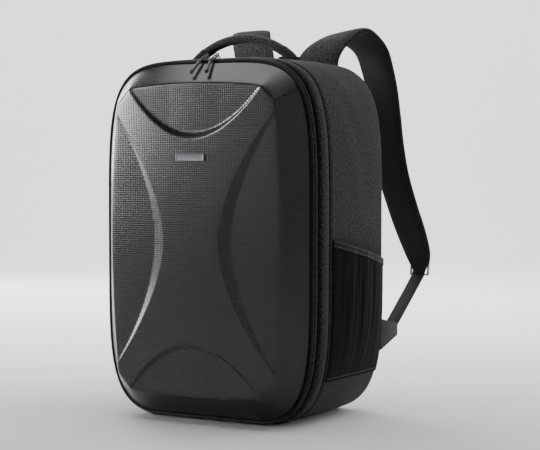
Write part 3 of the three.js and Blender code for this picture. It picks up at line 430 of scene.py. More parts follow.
polycarbonate, tree, shader = surface("embossed_polycarbonate", (0.004, 0.004, 0.0043), 0.17)
height = square_weave(tree, WEAVE_PITCH)
relief(tree, shader, height, 0.4, 0.00028)
vary_roughness(tree, shader, height, 0.45, 0.11)
shell = lattice("shell_skin", *shell_points())
dress(shell, "shell", polycarbonate, stands_for=["shell"])

# Badge. A small blank plate of dark satin metal with a raised border, glued on the cross.
badge_low, badge_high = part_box("badge")
BADGE_CORNER = 0.001
BADGE_STEPS = (
    # inset, how far it stands out from the plate's back
    (0.0, 0.0),
    (0.0, 0.0011),
    (0.0002, 0.0016),
    (0.0006, 0.0018),
    (0.0011, 0.0018),
    (0.0014, 0.00145),
    (0.0024, 0.0014),
    (0.0040, 0.0014),
)


def badge_points():
    """The plate as rings, each a rounded rectangle."""
    middle = (badge_low + badge_high) / 2
    badge_seat = badge_high.y + float(crown(0.0, middle.z - MID_Z)) + 0.0003
    half_x, half_z = (badge_high.x - badge_low.x) / 2, (badge_high.z - badge_low.z) / 2
    turn = np.linspace(0, 2 * math.pi, 48, endpoint=False) + 0.001
    rings = []
    for inset, out in BADGE_STEPS:
        corner = max(BADGE_CORNER - inset, 0.0002)
        x = np.sign(np.cos(turn)) * (half_x - inset - corner) + corner * np.cos(turn)
        z = np.sign(np.sin(turn)) * (half_z - inset - corner) + corner * np.sin(turn)
        rings.append(np.stack([middle.x + x, np.full_like(x, badge_seat - out), middle.z + z], -1))
    points = np.array(rings)
    return points, points[..., [0, 2]]


def grained(name, color, roughness, scale, depth, **sockets):
    """A plain material with a fine grain in its relief and in how rough it is."""
    material, tree, shader = surface(name, color, roughness, **sockets)
    place = add_node(tree, "ShaderNodeTexCoord").outputs["Object"]
    noise = add_node(tree, "ShaderNodeTexNoise", {"Vector": place, "Scale": scale, "Detail": 3.0})
    grain = noise.outputs["Fac"]
    vary_roughness(tree, shader, grain, roughness * 0.75, roughness * 1.3)
    relief(tree, shader, grain, 0.4, depth)
    return material


satin_plate = grained("satin_plate", (0.11, 0.11, 0.115), 0.34, 900.0, 0.00005, Metallic=0.75)
badge = lattice("badge_plate", *badge_points())
dress(badge, "badge", satin_plate, stands_for=["badge"])

# Body fabric. Dark grey polyester in a plain weave, spun from lighter and darker threads,
# so that short pale streaks run both ways through it.


def threads(tree, along, across):
    """Streaks of thread colour over the flat map, from 0 to 1, about so many to a metre along and across."""
    flat = add_node(tree, "ShaderNodeUVMap", uv_map="flat").outputs["UV"]
    stretched = add_node(tree, "ShaderNodeMapping", {"Vector": flat, "Scale": (along, across, 1)})
    noise = add_node(tree, "ShaderNodeTexNoise", {"Vector": stretched.outputs[0], "Scale": 1.0, "Detail": 2.0})
    return noise.outputs["Fac"]


def heathered(name, dark, light, roughness):
    """Cloth whose threads differ in shade, with its weave as a fine relief."""
    material, tree, shader = surface(name, dark, roughness, Sheen_Weight=0.08, Sheen_Roughness=0.5)
    shader.inputs["Specular IOR Level"].default_value = 0.15
    both = math_node(tree, "ADD", threads(tree, 220, 700), threads(tree, 700, 220))
    share = add_node(tree, "ShaderNodeMapRange", {"Value": both, "From Min": 0.87, "From Max": 1.16})
    blend(tree, shader, share.outputs["Result"], dark, light)
    relief(tree, shader, math_node(tree, "ADD", square_weave(tree, CLOTH_PITCH), both), 0.5, 0.0003)
    return material


body_cloth = heathered("heathered_cloth", (0.005, 0.0049, 0.005), (0.040, 0.039, 0.0395), 0.85)
black_tape = heathered("black_tape", (0.003, 0.003, 0.003), (0.010, 0.010, 0.010), 0.75)


def round_the_body(name, section, slot, material, stands_for, around=720):
    """A band all the way round the body, from a closed section of (offset, y)."""
    bearing, stops, whole = even_bearings(around)
    columns = []
    for offset, y in section:
        x, z = outline(bearing, offset)
        columns.append(np.stack([x, np.full_like(x, y), z], -1))
    points = np.stack(columns, 1)
    girth = lengths_along(np.array(section + [section[0]]))
    band = lattice(name, points, grid(np.append(stops, whole), girth), ring=True)
    return dress(band, slot, material, stands_for=stands_for)


def bead_section(offset, y, radius, sides=14):
    """The round section of a piping."""
    turns = [2 * math.pi * k / sides for k in range(sides)]
    return [(offset + radius * math.cos(turn), y + radius * math.sin(turn)) for turn in turns]


# Zip. A nylon coil on black tape runs round the body behind the shell, as two rows of turns that mesh.
# In front of it lies a cloth-covered piping, and a thin black tape binds the shell's rim.
ZIP_DEPTH = 0.018
TAPE_INSET = 0.0065
TAPE_WALL = 0.0025
LID_PIPING_RADIUS = 0.0023
LID_PIPING_Y = FRONT_Y + 0.0065
COIL_Y = FRONT_Y + 0.0128
RIM_BINDING_INSET, RIM_BINDING_Y, RIM_BINDING_RADIUS = 0.0042, FRONT_Y + 0.0002, 0.0023
COIL_TURN_PITCH = 0.0016
COIL_HALF_WIDTH = 0.0013
COIL_OUT, COIL_LENGTH, COIL_THICKNESS = 0.0009, 0.0011, 0.0016


def beads_tree():
    """Sets a small rounded bead at every pitch along the piece's lines, and turns each one along its line."""
    tree = bpy.data.node_groups.new("beads_along_lines", "GeometryNodeTree")
    face = tree.interface
    face.new_socket("Geometry", in_out="INPUT", socket_type="NodeSocketGeometry")
    for label in ("Pitch", "Length", "Across", "Height"):
        face.new_socket(label, in_out="INPUT", socket_type="NodeSocketFloat")
    face.new_socket("Material", in_out="INPUT", socket_type="NodeSocketMaterial")
    face.new_socket("Geometry", in_out="OUTPUT", socket_type="NodeSocketGeometry")
    given = add_node(tree, "NodeGroupInput").outputs
    line = add_node(tree, "GeometryNodeMeshToCurve", {"Mesh": given["Geometry"]})
    spaced = {"Curve": line.outputs[0], "Length": given["Pitch"]}
    stops = add_node(tree, "GeometryNodeResampleCurve", spaced, mode="LENGTH")
    bead = add_node(tree, "GeometryNodeMeshUVSphere", {"Segments": 8, "Rings": 5, "Radius": 0.5})
    smooth = add_node(tree, "GeometryNodeSetShadeSmooth", {"Geometry": bead.outputs["Mesh"]})
    lengths = {"X": given["Length"], "Y": given["Across"], "Z": given["Height"]}
    size = add_node(tree, "ShaderNodeCombineXYZ", lengths)
    tangent = add_node(tree, "GeometryNodeInputTangent")
    turned = add_node(tree, "FunctionNodeAlignRotationToVector", {"Vector": tangent.outputs[0]}, axis="X")
    beads = {"Points": stops, "Instance": smooth, "Rotation": turned, "Scale": size}
    beads = {key: node.outputs[0] for key, node in beads.items()}
    placed = add_node(tree, "GeometryNodeInstanceOnPoints", beads)
    real = add_node(tree, "GeometryNodeRealizeInstances", {"Geometry": placed.outputs[0]})
    paint = {"Geometry": real.outputs[0], "Material": given["Material"]}
    painted = add_node(tree, "GeometryNodeSetMaterial", paint)
    add_node(tree, "NodeGroupOutput", {"Geometry": painted.outputs[0]})
    return tree


BEADS = beads_tree()


def beads_along(name, lines, pitch, size, material, closed=False):
    """Stitches or coil turns: beads of size (length, across, height) along lines of points."""
    mesh = bpy.data.meshes.new(name + "_line")
    places, edges = [], []
    for line in lines:
        start = len(places)
        places += [tuple(p) for p in line]
        edges += [(k, k + 1) for k in range(start, len(places) - 1)]
        if closed:
            edges.append((len(places) - 1, start))
    mesh.from_pydata(places, edges, [])
    guide = bpy.data.objects.new(name + "_line", mesh)
    bpy.context.scene.collection.objects.link(guide)
    modifier = guide.modifiers.new("beads", "NODES")
    modifier.node_group = BEADS
    values = {"Pitch": pitch, "Length": size[0], "Across": size[1], "Height": size[2], "Material": material}
    for item in BEADS.interface.items_tree:
        if item.in_out == "INPUT" and item.name in values:
            modifier[item.identifier] = values[item.name]
    evaluated = guide.evaluated_get(bpy.context.evaluated_depsgraph_get())
    made = bpy.data.meshes.new_from_object(evaluated)
    bpy.data.objects.remove(guide)
    made.name = name
    piece = bpy.data.objects.new(name, made)
    bpy.context.scene.collection.objects.link(piece)
    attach(piece, "root")
    return piece


def body_line(offset, y, count=720, shift=0.0):
    """Points round the body at an offset and a depth."""
    bearing, _, _ = even_bearings(count)
    x, z = outline(bearing + shift, offset)
    return np.stack([x, np.full_like(x, y), z], -1)


tape_ends = (FRONT_Y + GAP, FRONT_Y + ZIP_DEPTH - GAP)
tape_section = [(-TAPE_INSET, y) for y in (tape_ends[0], FRONT_Y + 0.006, FRONT_Y + 0.012, tape_ends[1])]
tape_section += [(-TAPE_INSET - TAPE_WALL, y) for y in reversed(tape_ends)]
round_the_body("zip_tape_band", tape_section, "trim", black_tape, ["zip_tape"])
binding = bead_section(-RIM_BINDING_INSET, RIM_BINDING_Y, RIM_BINDING_RADIUS)
round_the_body("shell_rim_binding", binding, "body_fabric", black_tape, [])
piping = bead_section(GAP + LID_PIPING_RADIUS - TAPE_INSET, LID_PIPING_Y, LID_PIPING_RADIUS)
round_the_body("lid_binding", piping, "body_fabric", body_cloth, ["lid_piping"])
coil_nylon = grained("coil_nylon", (0.02, 0.02, 0.021), 0.3, 1500.0, 0.00005)
coil_rows = [
    body_line(GAP - TAPE_INSET + COIL_OUT, COIL_Y + half * COIL_HALF_WIDTH * 0.75, shift=shift)
    for half, shift in ((-1, 0.0), (1, 0.0033))
]
turn_size = (COIL_LENGTH, 2 * COIL_HALF_WIDTH, COIL_THICKNESS)
coil = beads_along("zip_coil_turns", coil_rows, COIL_TURN_PITCH, turn_size, coil_nylon, closed=True)
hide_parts("zip_coil")

# Front frame. A padded strip of the body fabric behind the zip, with a piping in the seam to the sides.
FRAME_DEPTH = 0.020
FRAME_FRONT = FRONT_Y + ZIP_DEPTH
FRAME_BACK = FRAME_FRONT + FRAME_DEPTH
PANEL_WALL = 0.004
PIPING_RADIUS = 0.0017
PIPING_SUNK = 0.0006
PIPING_Y = FRAME_BACK + GAP + PIPING_RADIUS
GUSSET_FRONT = PIPING_Y + PIPING_RADIUS + GAP
frame_section = [
    (-0.0090, FRAME_FRONT),
    (-0.0030, FRAME_FRONT),
    (-0.0014, FRAME_FRONT + 0.0004),
    (-0.0004, FRAME_FRONT + 0.0014),
    (0.0002, FRAME_FRONT + 0.003),
    (0.0008, FRAME_FRONT + 0.007),
    (0.0009, FRAME_FRONT + 0.011),
    (0.0006, FRAME_FRONT + 0.015),
    (0.0, FRAME_FRONT + 0.018),
    (-0.0008, FRAME_BACK - 0.0006),
    (-0.0020, FRAME_BACK),
    (-PANEL_WALL, FRAME_BACK),
    (-PANEL_WALL, FRAME_FRONT + 0.007),
    (-0.0090, FRAME_FRONT + 0.001),
]
front_strip = round_the_body("front_strip", frame_section, "body_fabric", body_cloth, ["front_frame"])
piping = bead_section(-PIPING_SUNK, PIPING_Y, PIPING_RADIUS)
round_the_body("side_seam_piping", piping, "body_fabric", body_cloth, ["seam_piping"])

# Sides, top and base. Padded walls of the body fabric, sewn to the front strip and rounded into the back.
# The base is a separate piece that comes a little way up the sides. The cloth puckers along its seams.
GUSSET_BULGE = 0.0015
BACK_ROUND = 0.015
BACK_PIPING_RADIUS = 0.002
GUSSET_BACK = BACK_Y - BACK_PIPING_RADIUS
BASE_SEAM_UP = 0.057
PUCKER_DEPTH, PUCKER_REACH = 0.00032, 0.012
WAVE_DEPTH, WAVE_SPAN = 0.0007, 0.154
# The cloth is smooth behind the pockets, and from this height up its waves and puckers grow.
WAVES_FROM, WAVES_FADE = 0.25, 0.05


def gusset_offset(y):
    """How far the wall stands out at a depth: a slight belly, then a quarter round into the back."""
    straight_end = GUSSET_BACK - BACK_ROUND
    share = np.clip((y - straight_end) / BACK_ROUND, 0, 1)
    along = np.clip((y - GUSSET_FRONT) / (straight_end - GUSSET_FRONT), 0, 1)
    return GUSSET_BULGE * np.sin(math.pi * along) - BACK_ROUND * (1 - np.sqrt(1 - share**2))


def seam_puckers(run, distance):
    """Small uneven gathers beside a seam, which die away within a few centimetres of it."""
    wave = np.sin(run * 310 + 1.4 * np.sin(run * 71)) + 0.6 * np.sin(run * 173 + 2.1 * np.sin(run * 37))
    return PUCKER_DEPTH * wave * np.exp(-distance / PUCKER_REACH)


def soft_waves(run, y):
    """The slow waviness of padded cloth, under a millimetre deep."""
    return WAVE_DEPTH * np.sin(run * 31 + 2 * np.sin(y * 40)) * np.cos(y * 47 + 1.7 * np.sin(run * 19))


def wall_piece(name, start, end, along, stands_for):
    """A padded wall between two bearings, its ends cut level at the base seam."""
    straight_end = GUSSET_BACK - BACK_ROUND
    outer = [(float(gusset_offset(y)), y) for y in np.linspace(GUSSET_FRONT, straight_end, 34)]
    turns = np.linspace(0, math.pi / 2, 11)[1:]
    outer += [(BACK_ROUND * (math.cos(t) - 1), straight_end + BACK_ROUND * math.sin(t)) for t in turns]
    bend = BACK_ROUND - PANEL_WALL
    inner = [(bend * math.cos(t) - BACK_ROUND, straight_end + bend * math.sin(t)) for t in turns[::-2]]
    inner += [(-PANEL_WALL, y) for y in (straight_end, 0.0, GUSSET_FRONT)]
    section = outer + inner
    bearings, stops, _ = even_bearings(along, start, end)
    columns = []
    for k, (offset, y) in enumerate(section):
        x, z = outline(bearings, offset)
        if k < len(outer):
            under_x, under_z = outline(bearings, offset - 0.001)
            lean_x, lean_z = x - under_x, z - under_z
            size = np.maximum(np.hypot(lean_x, lean_z), 1e-9)
            share = min(max((y - GUSSET_FRONT) / WAVE_SPAN, 0), 1)
            push = soft_waves(stops, y) * math.sin(math.pi * share)
            push = push + seam_puckers(stops, y - GUSSET_FRONT) + seam_puckers(stops + 1.3, GUSSET_BACK - y)
            push = push * np.clip((z - WAVES_FROM) / WAVES_FADE, 0, 1)
            x, z = x + lean_x / size * push, z + lean_z / size * push
        columns.append(np.stack([x, np.full_like(x, y), z], -1))
    points = np.stack(columns, 1)
    girth = lengths_along(np.array(section + [section[0]]))
    wall = lattice(name, points, grid(stops, girth))
    dress(wall, "body_fabric", body_cloth, stands_for=stands_for)
    return wall


def seam_bearing(height):
    """The bearing on the right at which the outline is at a height."""
    fine = np.linspace(-math.pi / 2, 0, 4001)
    return float(np.interp(height, outline(fine, 0.0)[1], fine))


seam = seam_bearing(BASE_SEAM_UP + GAP / 2)
wall_piece("side_and_top_wall", seam, math.pi - seam, 620, ["gusset"])
seam = seam_bearing(BASE_SEAM_UP - GAP / 2)
wall_piece("base_wall", math.pi - seam, 2 * math.pi + seam, 260, ["base_panel"])

# Back. A plain padded panel of the same cloth inside a piping, which the wearer's back rests on.
BACK_PANEL_THICKNESS = 0.010
BACK_PANEL_CROWN = 0.008
BACK_PIPING_OFFSET = -BACK_ROUND - BACK_PIPING_RADIUS - GAP
piping = bead_section(BACK_PIPING_OFFSET, GUSSET_BACK - BACK_PIPING_RADIUS, BACK_PIPING_RADIUS)
round_the_body("back_edge_piping", piping, "body_fabric", body_cloth, ["back_piping"])


def back_panel_points():
    """The panel as rings, from the middle of its hidden face round its edge to the middle of its crown."""
    bearing, _, _ = even_bearings(360)
    edge = BACK_PIPING_OFFSET - BACK_PIPING_RADIUS - GAP
    inside_y = BACK_Y - BACK_PANEL_THICKNESS
    rings = []

    def put(offset, y, scale=1.0):
        x, z = outline(bearing, offset)
        rings.append(np.stack([x * scale, np.full_like(x, y), MID_Z + (z - MID_Z) * scale], -1))

    for scale in (0.02, 0.5):
        put(edge, inside_y, scale)
    put(edge, inside_y)
    for turn in np.linspace(0, math.pi / 2, 9):
        y = inside_y + BACK_PANEL_THICKNESS * (0.5 + math.sin(turn) / 2)
        put(edge - BACK_PANEL_CROWN * (1 - math.cos(turn)), y)
    for scale in np.linspace(0.96, 0.02, 20):
        put(edge - BACK_PANEL_CROWN, BACK_Y, scale)
    points = np.array(rings)
    return points, points[..., [0, 2]]


back = lattice("back_padding", *back_panel_points())
dress(back, "padding", body_cloth, stands_for=["back_panel"])

# Side pockets. Black elastic mesh gathered into a slanting band of tape with two rows of pale stitches.
# Front and back edges and the foot are sewn down, and the mesh stands off the wall between them.
POCKET_WALL = 0.0016
POCKET_GAP = 0.009
POCKET_FRONT_TOP, POCKET_BACK_TOP = 0.243, 0.211
POCKET_FRONT = GUSSET_FRONT + 0.002
POCKET_BACK = BACK_Y - 0.013
GATHER_DEPTH = 0.0012
FOLDS = (
    # height, half waves across, how far they lean, start
    (1.0, 7, 1.5, 0.0),
    (0.5, 17, -3.2, 0.6),
    (0.3, 31, 4.1, 2.0),
)
BAND_HEIGHT = 0.010
BAND_THICKNESS, BAND_EDGE = 0.0026, 0.0018
BAND_STITCHES_DOWN = (0.0022, 0.0078)
FOOT_STITCHES_UP = 0.004
STITCH_PITCH, STITCH_SIZE = 0.0032, (0.0022, 0.0006, 0.0006)
SIDES = (("right", 1), ("left", -1))


def outline_half_width(height):
    """Half the body's width at a height."""
    up = np.abs(height - OUTLINE_MIDDLE) / HALF_HEIGHT
    return HALF_WIDTH * (1 - up**OUTLINE_POWER) ** (1 / OUTLINE_POWER)


def pocket_top(share):
    """The height of the pocket's mouth, which falls towards the back."""
    return POCKET_FRONT_TOP + (POCKET_BACK_TOP - POCKET_FRONT_TOP) * share


def pocket_inside(share, height, out):
    """A place on the right pocket, moved out by its thickness, with the mesh's gathers."""
    y = POCKET_FRONT + (POCKET_BACK - POCKET_FRONT) * share
    up = (height - BASE_SEAM_UP) / (pocket_top(share) - BASE_SEAM_UP)
    across = np.maximum(np.sin(math.pi * share), 0) ** 0.7
    gap = POCKET_GAP * across * (1 - (1 - up) ** 3)
    folds = sum(h * np.cos(waves * math.pi * share + lean * up + start) for h, waves, lean, start in FOLDS)
    ripple = GATHER_DEPTH * across * up**0.6 * folds * (1 - 0.8 * np.clip(up, 0, 1) ** 8)
    x = outline_half_width(height) + gusset_offset(y) + 2 * GAP + gap + np.maximum(ripple, -gap / 2)
    return np.stack([x + out, y, height], -1)


def pocket_piece(name, side, foot, top, outs, rows, columns=150):
    """A sheet of the pocket between two heights: up its inside and down its outside."""
    share = np.linspace(0, 1, columns)[:, None]
    ups = np.linspace(0, 1, rows)[None, :]
    height = foot(share) + (top(share) - foot(share)) * ups
    inner = pocket_inside(share + 0 * height, height, 0.0)
    outer = pocket_inside(share + 0 * height, height, np.interp(ups[0], *outs)[None, :])[:, ::-1]
    points = np.concatenate([inner, outer], 1) * (side, 1, 1)
    lengths = np.concatenate([height, height[:, ::-1] + 0.3], 1)
    run = lengths_along(outer[:, rows // 2])
    flat = np.stack([np.repeat(run[:, None], 2 * rows, 1), lengths], -1)
    return lattice(name, points, flat), run[-1]


def band_foot(share):
    """The height of the band's lower edge."""
    return pocket_top(share) - BAND_HEIGHT


def mesh_top(share):
    """The height of the mesh's upper edge."""
    return band_foot(share) - GAP


def base_line(share):
    """The height of the seam that holds the pocket's foot."""
    return BASE_SEAM_UP + 0 * share


def netting():
    """Knitted mesh: rows of small holes between paler threads, the holes darkened with painted shade seen
    through them.
    """
    material, tree, shader = surface("elastic_mesh", (0.003, 0.003, 0.0032), 0.8)
    shader.inputs["Specular IOR Level"].default_value = 0.12
    holes = square_weave(tree, NET_PITCH)
    # Painted shade: the holes are coloured darker than the threads to stand for the shade behind the openings;
    # the threads keep the mesh's own black.
    blend(tree, shader, holes, (0.008, 0.008, 0.0085), (0.0015, 0.0015, 0.0016))
    relief(tree, shader, holes, 0.6, 0.0005, invert=True)
    return material


elastic_mesh = netting()
pale_thread = grained("pale_thread", (0.2, 0.2, 0.203), 0.7, 2500.0, 0.0002)
dark_thread = grained("dark_thread", (0.035, 0.035, 0.036), 0.7, 2500.0, 0.0002)
for side_name, side in SIDES:
    outs = ((0, 1), (POCKET_WALL, POCKET_WALL))
    net, width = pocket_piece(f"pocket_net_{side_name}", side, base_line, mesh_top, outs, 40)
    dress(net, "mesh", elastic_mesh, stands_for=[f"pocket_mesh_{side_name}"])
    outs = ((0, 0.08, 0.92, 1), (BAND_EDGE, BAND_THICKNESS, BAND_THICKNESS, BAND_EDGE))
    band, _ = pocket_piece(f"pocket_edge_{side_name}", side, band_foot, pocket_top, outs, 14)
    dress(band, "trim", black_tape, stands_for=[f"pocket_band_{side_name}"])
    share = np.linspace(0.01, 0.99, 120)
    rows = [
        pocket_inside(share, pocket_top(share) - down, BAND_THICKNESS + 0.0001) * (side, 1, 1)
        for down in BAND_STITCHES_DOWN
    ]
    beads_along(f"band_stitches_{side_name}", rows, STITCH_PITCH, STITCH_SIZE, pale_thread)
    rows = [pocket_inside(share, base_line(share) + FOOT_STITCHES_UP, POCKET_WALL + 0.0001) * (side, 1, 1)]
    beads_along(f"foot_stitches_{side_name}", rows, STITCH_PITCH, STITCH_SIZE, pale_thread)

# Handle. A padded roll of the body fabric bowed over the top, its ends bound in black tape
# and sewn into flat tabs with a stitched border.
HANDLE_SPAN = 0.145
HANDLE_RISE = 0.026
HANDLE_Y = FRONT_Y + 0.092
HANDLE_WIDTH = 0.018
HANDLE_THICKNESS = 0.0125
HANDLE_TAB_LENGTH = 0.026
HANDLE_TAB_THICKNESS = 0.0024
HANDLE_FLAT_LENGTH, HANDLE_GIRTH = 0.08, 0.05
WRAP_FROM, WRAP_TO = 0.74, 0.995
WRAP_OUTSIDE, WRAP_INSIDE = 0.0009, 0.0002
HANDLE_SEAT = BODY_HEIGHT + GUSSET_BULGE + HANDLE_TAB_THICKNESS + 2 * GAP
handle_radius = (HANDLE_SPAN**2 / 4 + HANDLE_RISE**2) / (2 * HANDLE_RISE)
handle_middle = HANDLE_SEAT + HANDLE_RISE - handle_radius


def handle_rows(shares, swell, sides=28):
    """Rings along the handle's arc. Each ring is an oval, and the last ones lie level on the tabs."""
    turn = np.linspace(0, 2 * math.pi, sides, endpoint=False)[None, :]
    share = np.asarray(shares)[:, None]
    radius = handle_radius + (HANDLE_THICKNESS / 2 + swell) * np.sin(turn) * (1 - 0.12 * share**4)
    wide = (HANDLE_WIDTH / 2 + swell) * np.sign(np.cos(turn)) * np.abs(np.cos(turn)) ** 0.8
    sweep = np.arccos((HANDLE_SEAT - handle_middle) / radius) * share
    x, z = radius * np.sin(sweep), handle_middle + radius * np.cos(sweep)
    flat = grid(share[:, 0] * HANDLE_FLAT_LENGTH, np.linspace(0, HANDLE_GIRTH, sides + 1))
    return np.stack([x, HANDLE_Y + wide + 0 * share, z], -1), flat


roll = lattice("handle_roll", *handle_rows(np.linspace(-1, 1, 90), 0.0))
dress(roll, "padding", body_cloth, stands_for=["handle"])
for side_name, side in SIDES:
    out_points, out_flat = handle_rows(np.linspace(WRAP_FROM, WRAP_TO, 12) * side, WRAP_OUTSIDE)
    in_points, in_flat = handle_rows(np.linspace(WRAP_TO, WRAP_FROM, 12) * side, WRAP_INSIDE)
    sleeve = np.concatenate([out_points, in_points])
    sleeve_flat = np.concatenate([out_flat, in_flat, out_flat[:1]])
    dress(lattice(f"handle_wrap_{side_name}", sleeve, sleeve_flat, ring=True), "trim", black_tape)


def rounded_ring(across, up, half_across, half_up, corner, steps=5):
    """A rounded rectangle about the origin, as lists of two coordinates."""
    corner = min(corner, half_across, half_up)
    ring = []
    for k, (right, top) in enumerate(((1, 1), (-1, 1), (-1, -1), (1, -1))):
        middle_across, middle_up = across + right * (half_across - corner), up + top * (half_up - corner)
        for turn in np.linspace(k, k + 1, steps) * math.pi / 2:
            ring.append((middle_across + corner * math.cos(turn), middle_up + corner * math.sin(turn)))
    return ring


def handle_tab(name, side):
    """A flat tab between the wall and the handle's foot, its underside curved to the wall."""
    rows = []
    wall_x, wall_z = outline(np.linspace(0.1, math.pi / 2, 2001), float(gusset_offset(HANDLE_Y)) + GAP)
    for share in np.linspace(-1, 1, 9):
        x = HANDLE_SPAN / 2 + share * HANDLE_TAB_LENGTH / 2
        foot = float(np.interp(-x, -wall_x, wall_z))
        top = HANDLE_SEAT - GAP - 0.0006 * abs(share) ** 8
        ring = rounded_ring(HANDLE_Y, (foot + top) / 2, HANDLE_WIDTH / 2, (top - foot) / 2, 0.0007)
        rows.append([(x * side, y, z) for y, z in ring])
    points = np.array(rows)
    return lattice(name, points, points[..., :2])


for side_name, side in SIDES:
    tab = handle_tab(f"handle_foot_{side_name}", side)
    dress(tab, "trim", black_tape, stands_for=[f"handle_tab_{side_name}"])

# Shoulder straps. Foam pads with the body fabric outside and black air mesh towards the wearer,
# sewn flat all round. They leave the top of the back, arch over and narrow down to the ladder adjusters.
STRAP_THICKNESS = 0.010
STRAP_WIDTH = 0.064
STRAP_BOW_DEPTH = 0.134
STRAP_SPREAD = 0.150
STRAP_LOOP_RISE = 0.054
STRAP_END_UP = 0.181
STRAP_END_TAPER = 0.006
STRAP_STITCH_PITCH, STRAP_STITCH_SIZE, STRAP_STITCH_UP = 0.0036, (0.0024, 0.0007, 0.0007), 0.76
# The stitches along an edge, as a share of the half width, and how much thinner they pull the pad.
EDGE_STITCHES, EDGE_PINCH = 0.84, 0.22
# How far a strap's inner edge hangs below its outer edge where it is twisted most. The two hang differently.
STRAP_TWIST_DROP = {"right": 0.011, "left": -0.002}
STRAP_SECTIONS = np.array(
    [
        # across, out, rise (over the body's top, or down to the end), width, thickness, twist
        (0.335, 0.0, -0.147, 1.03, 1, 0),
        (0.335, 0.0, -0.057, 1.03, 1, 0),
        (0.345, 0.012, 0.09, 1.03, 1, 0.1),
        (0.385, 0.05, 0.39, 1.02, 1, 0.3),
        (0.45, 0.135, 0.68, 1.02, 1, 0.65),
        (0.53, 0.28, 0.9, 1.0, 1, 0.95),
        (0.595, 0.45, 0.75, 0.87, 1, 0.85),
        (0.64, 0.6, 0.41, 0.82, 1, 0.4),
        (0.667, 0.68, -0.016, 0.8, 1, 0.15),
        (0.695, 0.72, -0.114, 0.79, 1, 0),
        (0.725, 0.735, -0.237, 0.78, 1, 0),
        (0.765, 0.73, -0.381, 0.77, 1, 0),
        (0.815, 0.74, -0.522, 0.77, 1, 0),
        (0.88, 0.8, -0.665, 0.76, 1, 0),
        (0.94, 0.875, -0.79, 0.74, 1, 0),
        (0.98, 0.935, -0.883, 0.66, 0.9, 0),
        (0.995, 0.96, -0.937, 0.54, 0.7, 0),
        (1.0, 0.955, -0.974, 0.36, 0.4, 0),
        (1.0, 0.94, -0.99, 0.24, 0.3, 0),
    ]
)


def smooth_rows(rows, between):
    """A smooth course through rows of values, with that many steps between two rows."""
    padded = np.vstack([2 * rows[0] - rows[1], rows, 2 * rows[-1] - rows[-2]])
    made = []
    for a, b, c, d in zip(padded, padded[1:], padded[2:], padded[3:]):
        for t in np.arange(between) / between:
            turn = (c - a) * t + (2 * a - 5 * b + 4 * c - d) * t**2 + (3 * b - a - 3 * c + d) * t**3
            made.append(b + turn / 2)
    return np.array(made + [rows[-1]])


def strap_course(between, twist_drop):
    """A strap on the right: its middles, widths and half thicknesses, and its ways along, across and out."""
    across, out, rise, width, thick, twist = STRAP_SECTIONS.T
    drop = twist * twist_drop
    z = BODY_HEIGHT + rise * np.where(rise >= 0, STRAP_LOOP_RISE, BODY_HEIGHT - STRAP_END_UP) - drop / 2
    y = BACK_Y + GAP + STRAP_THICKNESS / 2 + out * STRAP_BOW_DEPTH
    rows = np.stack([across * STRAP_SPREAD, y, z, width * STRAP_WIDTH, thick * STRAP_THICKNESS / 2, drop], -1)
    if between > 1:
        rows = smooth_rows(rows, between)
    along, outward = upright_ways(rows[:, :3])
    roll = np.arcsin(rows[:, 5] / rows[:, 3])
    side = np.stack([np.cos(roll), 0 * roll, np.sin(roll)], -1)
    outward = unit(outward - (outward * side).sum(1)[:, None] * side)
    return rows[:, :3], rows[:, 3], rows[:, 4], along, side, outward


def strap_surface(course, share, up):
    """Places on the strap: share is -1 to 1 across it, and up is -1 to 1 of half its thickness."""
    middle, width, half, _, side, outward = course
    across = (share * width[:, None] / 2)[..., None] * side[:, None]
    return middle[:, None] + across + (up * half[:, None])[..., None] * outward[:, None]


def air_mesh():
    """Black spacer mesh with small round holes in its face."""
    material, tree, shader = surface("air_mesh", (0.006, 0.006, 0.006), 0.9)
    relief(tree, shader, square_weave(tree, AIR_MESH_PITCH), 0.5, 0.0006, invert=True)
    return material


black_air_mesh = air_mesh()
turn = np.linspace(0, 2 * math.pi, 48, endpoint=False)
section_share = np.sign(np.cos(turn)) * np.abs(np.cos(turn)) ** 0.55
section_up = np.sign(np.sin(turn)) * np.abs(np.sin(turn)) ** 0.75
section_up = section_up * (1 - EDGE_PINCH * np.exp(-(((np.abs(section_share) - EDGE_STITCHES) / 0.05) ** 2)))
section_run = np.hypot(np.gradient(section_share) * 0.03, np.gradient(section_up) * 0.005)
strap_girth = np.append(np.cumsum(section_run), 0.14)
for side_name, side in SIDES:
    course = strap_course(12, STRAP_TWIST_DROP[side_name])
    length = lengths_along(course[0])
    ends = np.clip(length / STRAP_END_TAPER, 0.25, 1)[:, None]
    share, up = section_share[None, :] * (0.9 + 0.1 * ends), section_up[None, :] * np.sqrt(ends)
    points = strap_surface(course, share, up)
    pad = lattice(f"strap_{side_name}", points * (side, 1, 1), grid(length, strap_girth))
    dress(pad, "padding", body_cloth, black_air_mesh, stands_for=[f"strap_pad_{side_name}"])
    towards_wearer = np.arange(len(pad.data.polygons)) % len(turn) >= len(turn) // 2
    pad.data.polygons.foreach_set("material_index", towards_wearer.astype(np.int32))
    lines = [
        strap_surface(course, np.array([[share]]), np.array([[up]]))[8:-6, 0] * (side, 1, 1)
        for share in (-EDGE_STITCHES, EDGE_STITCHES)
        for up in (STRAP_STITCH_UP, -STRAP_STITCH_UP)
    ]
    name = f"strap_stitches_{side_name}"
    beads_along(name, lines, STRAP_STITCH_PITCH, STRAP_STITCH_SIZE, dark_thread)

